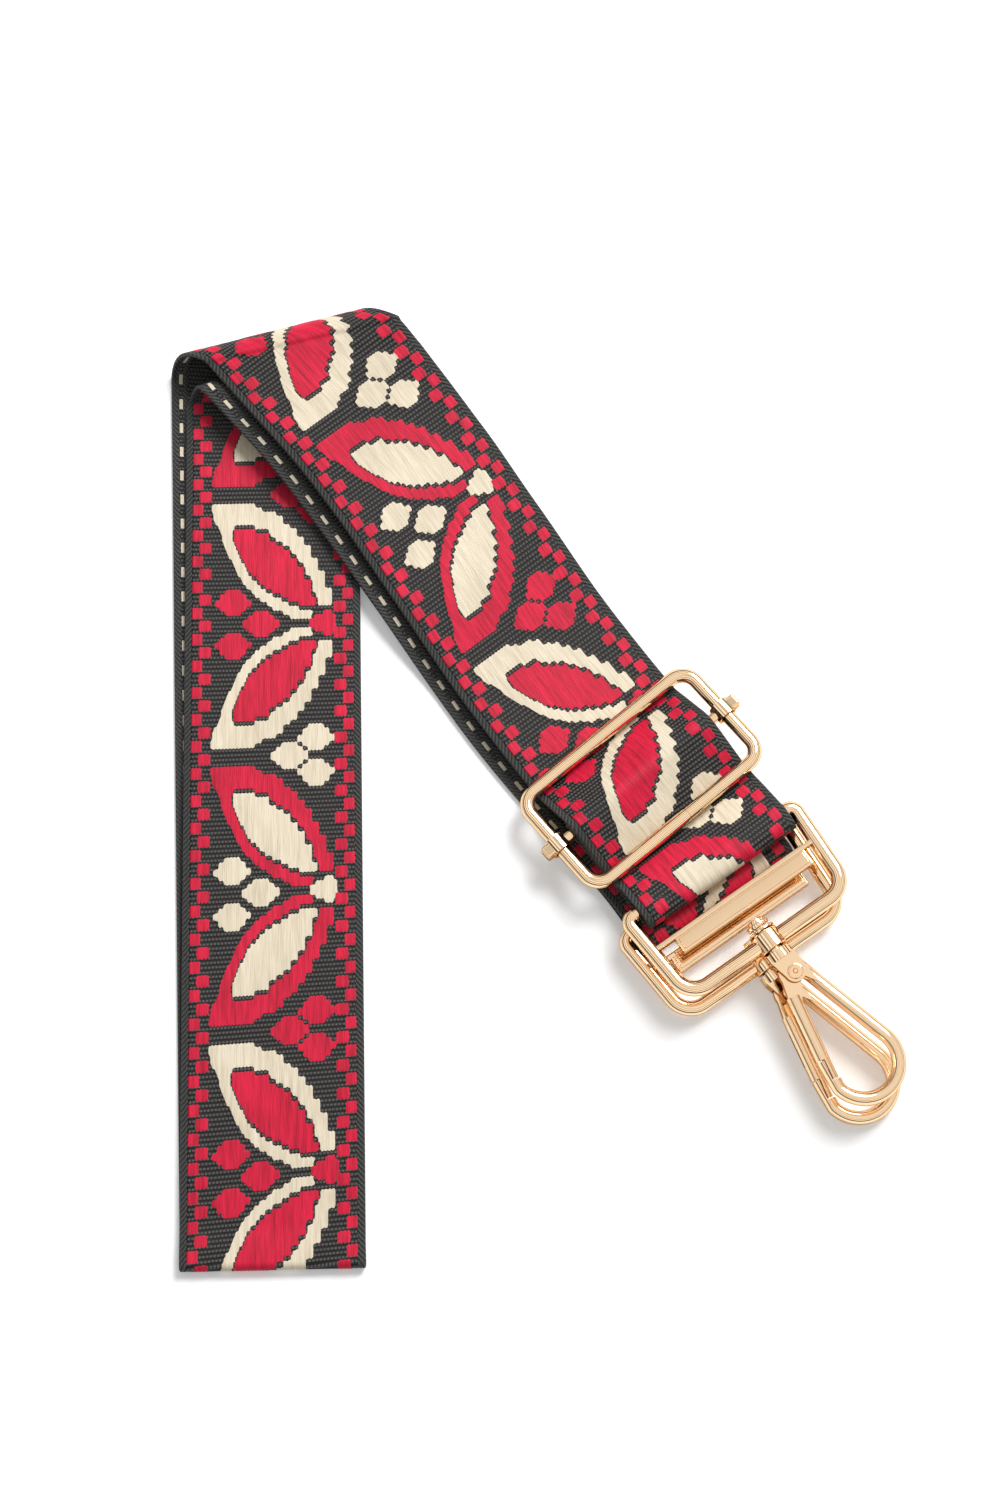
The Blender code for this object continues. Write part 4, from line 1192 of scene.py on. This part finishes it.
def hook_body_mesh():
    """Neck, fork and the arm that runs round the eye to the nose."""
    round_end = arc(eye_centre, eye_radius, arm_lean, gate_lean - 180, 64)
    path = [arm_line(neck_length + hook_rod_radius), arm_line(gate_shoulder_reach)]
    path += round_end
    path.append(gate_line(nose_reach))
    root = arm_line(gate_shoulder_reach)
    low = arm_line(gate_shoulder_reach + hook_rod_radius)
    cheek = [(neck_radius - edge_round, -neck_length), root, low,
             *arc(rivet, cheek_radius, -60, -180, 24), (-neck_radius + edge_round, -neck_length)]
    solids = [
        cylinder(neck_radius, (0, -neck_length - edge_round, 0), (0, 0, 0)),
        plate(cheek, cheek_half_thickness),
        rod(path, hook_rod_radius, flattening=hook_rod_flattening),
    ]
    fork_gap = knuckle_half_thickness + clearance
    fork = plate(knuckle_outline(hub_radius + clearance, knuckle_radius + clearance,
                                 gate_opening + fork_room),
                 fork_gap)
    side_cut = box((rivet.x - 2 * knuckle_radius, rivet.y - 2 * knuckle_radius, -fork_gap),
                   (rivet.x, rivet.y + hub_radius + clearance, fork_gap))
    through = Vector((0, 0, cheek_half_thickness + overrun))
    bore = cylinder(rivet_radius + clearance, rivet - through, rivet + through, bar_steps)
    socket = cylinder(pin_radius + clearance, (0, -socket_depth, 0), (0, overrun, 0))
    return fuse(solids, [fork, side_cut, bore, socket, nose_cut()])


def nose_cut():
    """Takes the inner half off the nose, where the gate's tip closes against it."""
    seat = gate_line(nose_reach + step_length)
    return box(
        (seat.x - clearance / 2, seat.y, -2 * hook_rod_radius),
        (seat.x + 2 * hook_rod_radius, seat.y + 2 * step_length, 2 * hook_rod_radius),
        turn=-gate_lean, pivot=seat,
    )


def gate_mesh():
    """Knuckle, and a grooved rod that closes against the inside of the nose."""
    tip = gate_line(nose_reach + step_length - clearance)
    shoulder = gate_line(gate_shoulder_reach)
    heading = (tip - shoulder).normalized()
    aside = Vector((heading.y, -heading.x, 0))
    root = shoulder + heading * hook_rod_radius
    inside = root - aside * hook_rod_radius * 0.9
    outside = root + aside * hook_rod_radius * 0.9
    upper = arc(rivet, knuckle_radius, knuckle_start, knuckle_end, 1)
    half = knuckle_half_thickness
    solids = [
        plate(knuckle_outline(hub_radius, knuckle_radius, 0), half),
        plate([inside, outside, upper[0], rivet, upper[1]], half),
        rod([shoulder, (shoulder + tip) / 2, tip], hook_rod_radius, flattening=hook_rod_flattening),
    ]
    outer_seat = gate_line(nose_reach - clearance)
    step = box(
        (outer_seat.x - 2 * hook_rod_radius, outer_seat.y - 2 * step_length, -2 * hook_rod_radius),
        (outer_seat.x + clearance / 2, outer_seat.y, 2 * hook_rod_radius),
        turn=-gate_lean, pivot=outer_seat,
    )
    groove_start = gate_line(gate_shoulder_reach + knuckle_radius)
    groove = box(
        (groove_start.x - 2 * hook_rod_radius,
         groove_start.y - (nose_reach - gate_shoulder_reach - 2 * knuckle_radius), -groove_width / 2),
        (groove_start.x - hook_rod_radius + groove_depth, groove_start.y, groove_width / 2),
        turn=-gate_lean, pivot=groove_start,
    )
    past = Vector((0, 0, half + overrun))
    bore = cylinder(rivet_radius + clearance, rivet - past, rivet + past, bar_steps)
    pocket = cylinder(hub_radius - pocket_wall, rivet - Vector((0, 0, half - pocket_floor)),
                      rivet + past, bar_steps)
    return fuse(solids, [step, groove, bore, pocket])


def rivet_mesh():
    """Rivet through the cheeks, with a low rounded head on each, the upper one countersunk."""
    half = cheek_half_thickness + clearance
    tall = half + rivet_head_height
    sunk = tall - rivet_head_height * 0.7
    rim = rivet_head_height / 2
    profile = [(0, sunk), (rivet_dimple_radius * 0.6, sunk), (rivet_dimple_radius, tall)]
    profile += rim_arc((rivet_head_radius - rim, tall - rim), rim, 90, -90)
    profile += [(rivet_radius, half), (rivet_radius, -half)]
    profile += rim_arc((rivet_head_radius - rim, rim - tall), rim, 90, -90)
    profile.append((0, -tall))
    made = turned(profile)
    made.data.transform(Matrix.Translation(rivet) @ Matrix.Rotation(math.radians(90), 4, "X"))
    return fuse([made])


def metal_piece(name, mesh, place, body, node):
    """One gold fitting in its place, standing for its solid."""
    shaped = mesh.copy()
    shaped.name = name
    shaped.transform(place)
    shaped.materials.clear()
    shaped.materials.append(gold)
    shaped.shade_smooth()
    shaped.set_sharp_from_angle(angle=math.radians(sharp_edge_angle))
    made = add_object(name, shaped)
    weighted = made.modifiers.new("even_normals", "WEIGHTED_NORMAL")
    weighted.keep_sharp = True
    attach(made, body)
    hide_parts(node)


def place_at(plan, height, pitch=0.0, turn=0.0):
    """Placing matrix in the frame for a point of the strap's path."""
    spin = Matrix.Rotation(math.radians(turn), 4, "Z") @ Matrix.Rotation(math.radians(pitch), 4, "X")
    return Matrix.Translation(Vector((*plan, height)) + shift) @ spin


left_edge, right_edge, arm_start, top_line, under_line = webbing_path()
slider_plan = top_line.point(slider_station)
slider_low, slider_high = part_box("slider_frame")
shift = (slider_low + slider_high) / 2 - Vector((*slider_plan, slider_height))

# Weave finishes: each thread colour, then a darker copy of it that is painted shade
red = float_material("red_float", (0.68, 0.010, 0.050), (0.27, 0.003, 0.015))
cream = float_material("cream_float", (0.77, 0.68, 0.525), (0.55, 0.46, 0.325))
ground = ground_material("charcoal_ground", (0.122, 0.112, 0.106), (0.002, 0.0018, 0.0018))
rope = rope_material("black_selvedge", (0.055, 0.056, 0.053), (0.010, 0.010, 0.010))
gold = gold_material("pale_gold_plate", (0.96, 0.71, 0.46), (0.94, 0.65, 0.39), 0.05)
steel = steel_material("spring_steel")

weave, webbing_length = webbing_piece(left_edge, right_edge, arm_start, shift)
for finish in (ground, red, cream, rope):
    weave.data.materials.append(finish)
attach(weave, "strap")
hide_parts("webbing")

slider_place = place_at(slider_plan, slider_height, pitch=-slider_pitch,
                        turn=top_line.heading(slider_station) + 90)
metal_piece("slider_wire", slider_frame_mesh(), slider_place, "slider", "slider_frame")
metal_piece("slider_clasp_bar", slider_bar_mesh(), slider_place, "strap", "slider_bar")

hook_meshes = {
    "frame": hook_frame_mesh(),
    "swivel_pin": swivel_pin_mesh(),
    "swivel_washer": swivel_washer_mesh(),
    "body": hook_body_mesh(),
    "gate": gate_mesh(),
    "gate_rivet": rivet_mesh(),
}
for hook, line in (("hook_a", top_line), ("hook_b", under_line)):
    lay = hook_lay[hook]
    plan = line.point(lay["station"]) + across(line.heading(lay["station"])) * lay["aside"]
    crossbar = place_at(plan, lay["height"], pitch=-lay["frame_pitch"])
    swivel = crossbar @ Matrix.Translation((0, -frame_reach, 0))
    droop = Matrix.Rotation(math.radians(lay["frame_pitch"] - lay["hook_pitch"]), 4, "X")
    stem = swivel @ droop @ Matrix.Translation((0, -boss_length / 2 - clearance - pin_tilt_room, 0))
    for part, place, body in (
        ("frame", crossbar, "swing"),
        ("swivel_washer", swivel, "swing"),
        ("swivel_pin", stem, "turn"),
        ("body", stem, "turn"),
        ("gate", stem, "thumb_gate"),
        ("gate_rivet", stem, "turn"),
    ):
        metal_piece(f"{hook}_{part}_dressed", hook_meshes[part], place, f"{hook}_{body}",
                    f"{hook}_{part}")
    spring = bpy.data.objects[f"{hook}_gate_spring"]
    spring.material_slots[0].material = steel

# Floor, lights and camera
floor_half = 4
floor_drop = 0.05 * MM
floor_grey = 0.88
floor_glow = 0.22
floor_mesh = bpy.data.meshes.new("floor")
corners = [(floor_half * x, floor_half * y, 0) for x, y in ((-1, -1), (1, -1), (1, 1), (-1, 1))]
floor_mesh.from_pydata(corners, [], [(0, 1, 2, 3)])
floor = add_object("floor", floor_mesh)
floor.location.z = -floor_drop
floor_shader = Shader(bpy.data.materials.new("white_floor"))
seen = floor_shader.node("ShaderNodeLightPath").outputs
shown = floor_shader.math("MAXIMUM", seen["Is Camera Ray"], seen["Is Glossy Ray"])
shown = floor_shader.math("MAXIMUM", shown, seen["Is Transmission Ray"])
floor_shader.fill(floor_shader.surface, Base_Color=(floor_grey, floor_grey, floor_grey),
                  Roughness=0.9, Specular_IOR_Level=0.0, Emission_Color=(1, 1, 1),
                  Emission_Strength=floor_shader.math("MULTIPLY", shown, floor_glow))
floor_mesh.materials.append(floor_shader.owner)

# What the polished fittings reflect: level of light by how high it comes from, 1 straight above
studio_bands = ((0.0, 0.55), (0.08, 0.6), (0.12, 0.06), (0.36, 0.05), (0.40, 0.85), (0.44, 1.0),
                (0.56, 1.0), (0.60, 0.34), (0.72, 0.30), (0.76, 0.9), (0.80, 1.0), (0.86, 1.0),
                (0.89, 0.52), (0.94, 0.56), (0.97, 0.74), (1.0, 0.78))
studio_lean = (0.16, -0.12, 1.0)
studio_level = 1.25
ambient = 0.42
key_place = (1.1, 0.45, 1.25)
key_size = 0.8
key_power = 35

world = bpy.data.worlds.new("studio")
bpy.context.scene.world = world
studio = Shader(world, "Background")
height = studio.node("ShaderNodeVectorMath", operation="DOT_PRODUCT")
height.inputs[1].default_value = studio_lean
studio.feed(height.inputs[0], studio.node("ShaderNodeTexCoord").outputs["Generated"])
bands = studio.node("ShaderNodeValToRGB", Fac=height.outputs["Value"])
while len(bands.color_ramp.elements) < len(studio_bands):
    bands.color_ramp.elements.new(1.0)
for element, (place, level) in zip(bands.color_ramp.elements, studio_bands):
    element.position = place
    element.color = (level, level, level, 1)
glossy = studio.node("ShaderNodeLightPath").outputs["Is Glossy Ray"]
lit = studio.mix(glossy, (ambient / studio_level,) * 3, bands.outputs[0])
studio.fill(studio.surface, Color=lit, Strength=studio_level)

key = bpy.data.lights.new("key", "AREA")
key.size = key_size
key.energy = key_power
lamp = add_object("key", key)
lamp.location = key_place
lamp.rotation_mode = "QUATERNION"
lamp.rotation_quaternion = Vector(key_place).to_track_quat("Z", "Y")

camera = add_object("camera", bpy.data.cameras.new("camera"))
camera.data.lens = camera_lens
camera.data.sensor_width = camera_sensor
back = Vector(camera_place).normalized()
right = Vector(camera_right).normalized()
up = back.cross(right)
turn = Matrix((right, up, back)).transposed()
camera.matrix_world = Matrix.Translation(Vector(camera_place) + shift) @ turn.to_4x4()
camera.data.clip_start = 10 * MM
camera.data.clip_end = 50
bpy.context.scene.camera = camera
bpy.context.scene.view_settings.view_transform = "Standard"

bpy.context.view_layer.update()
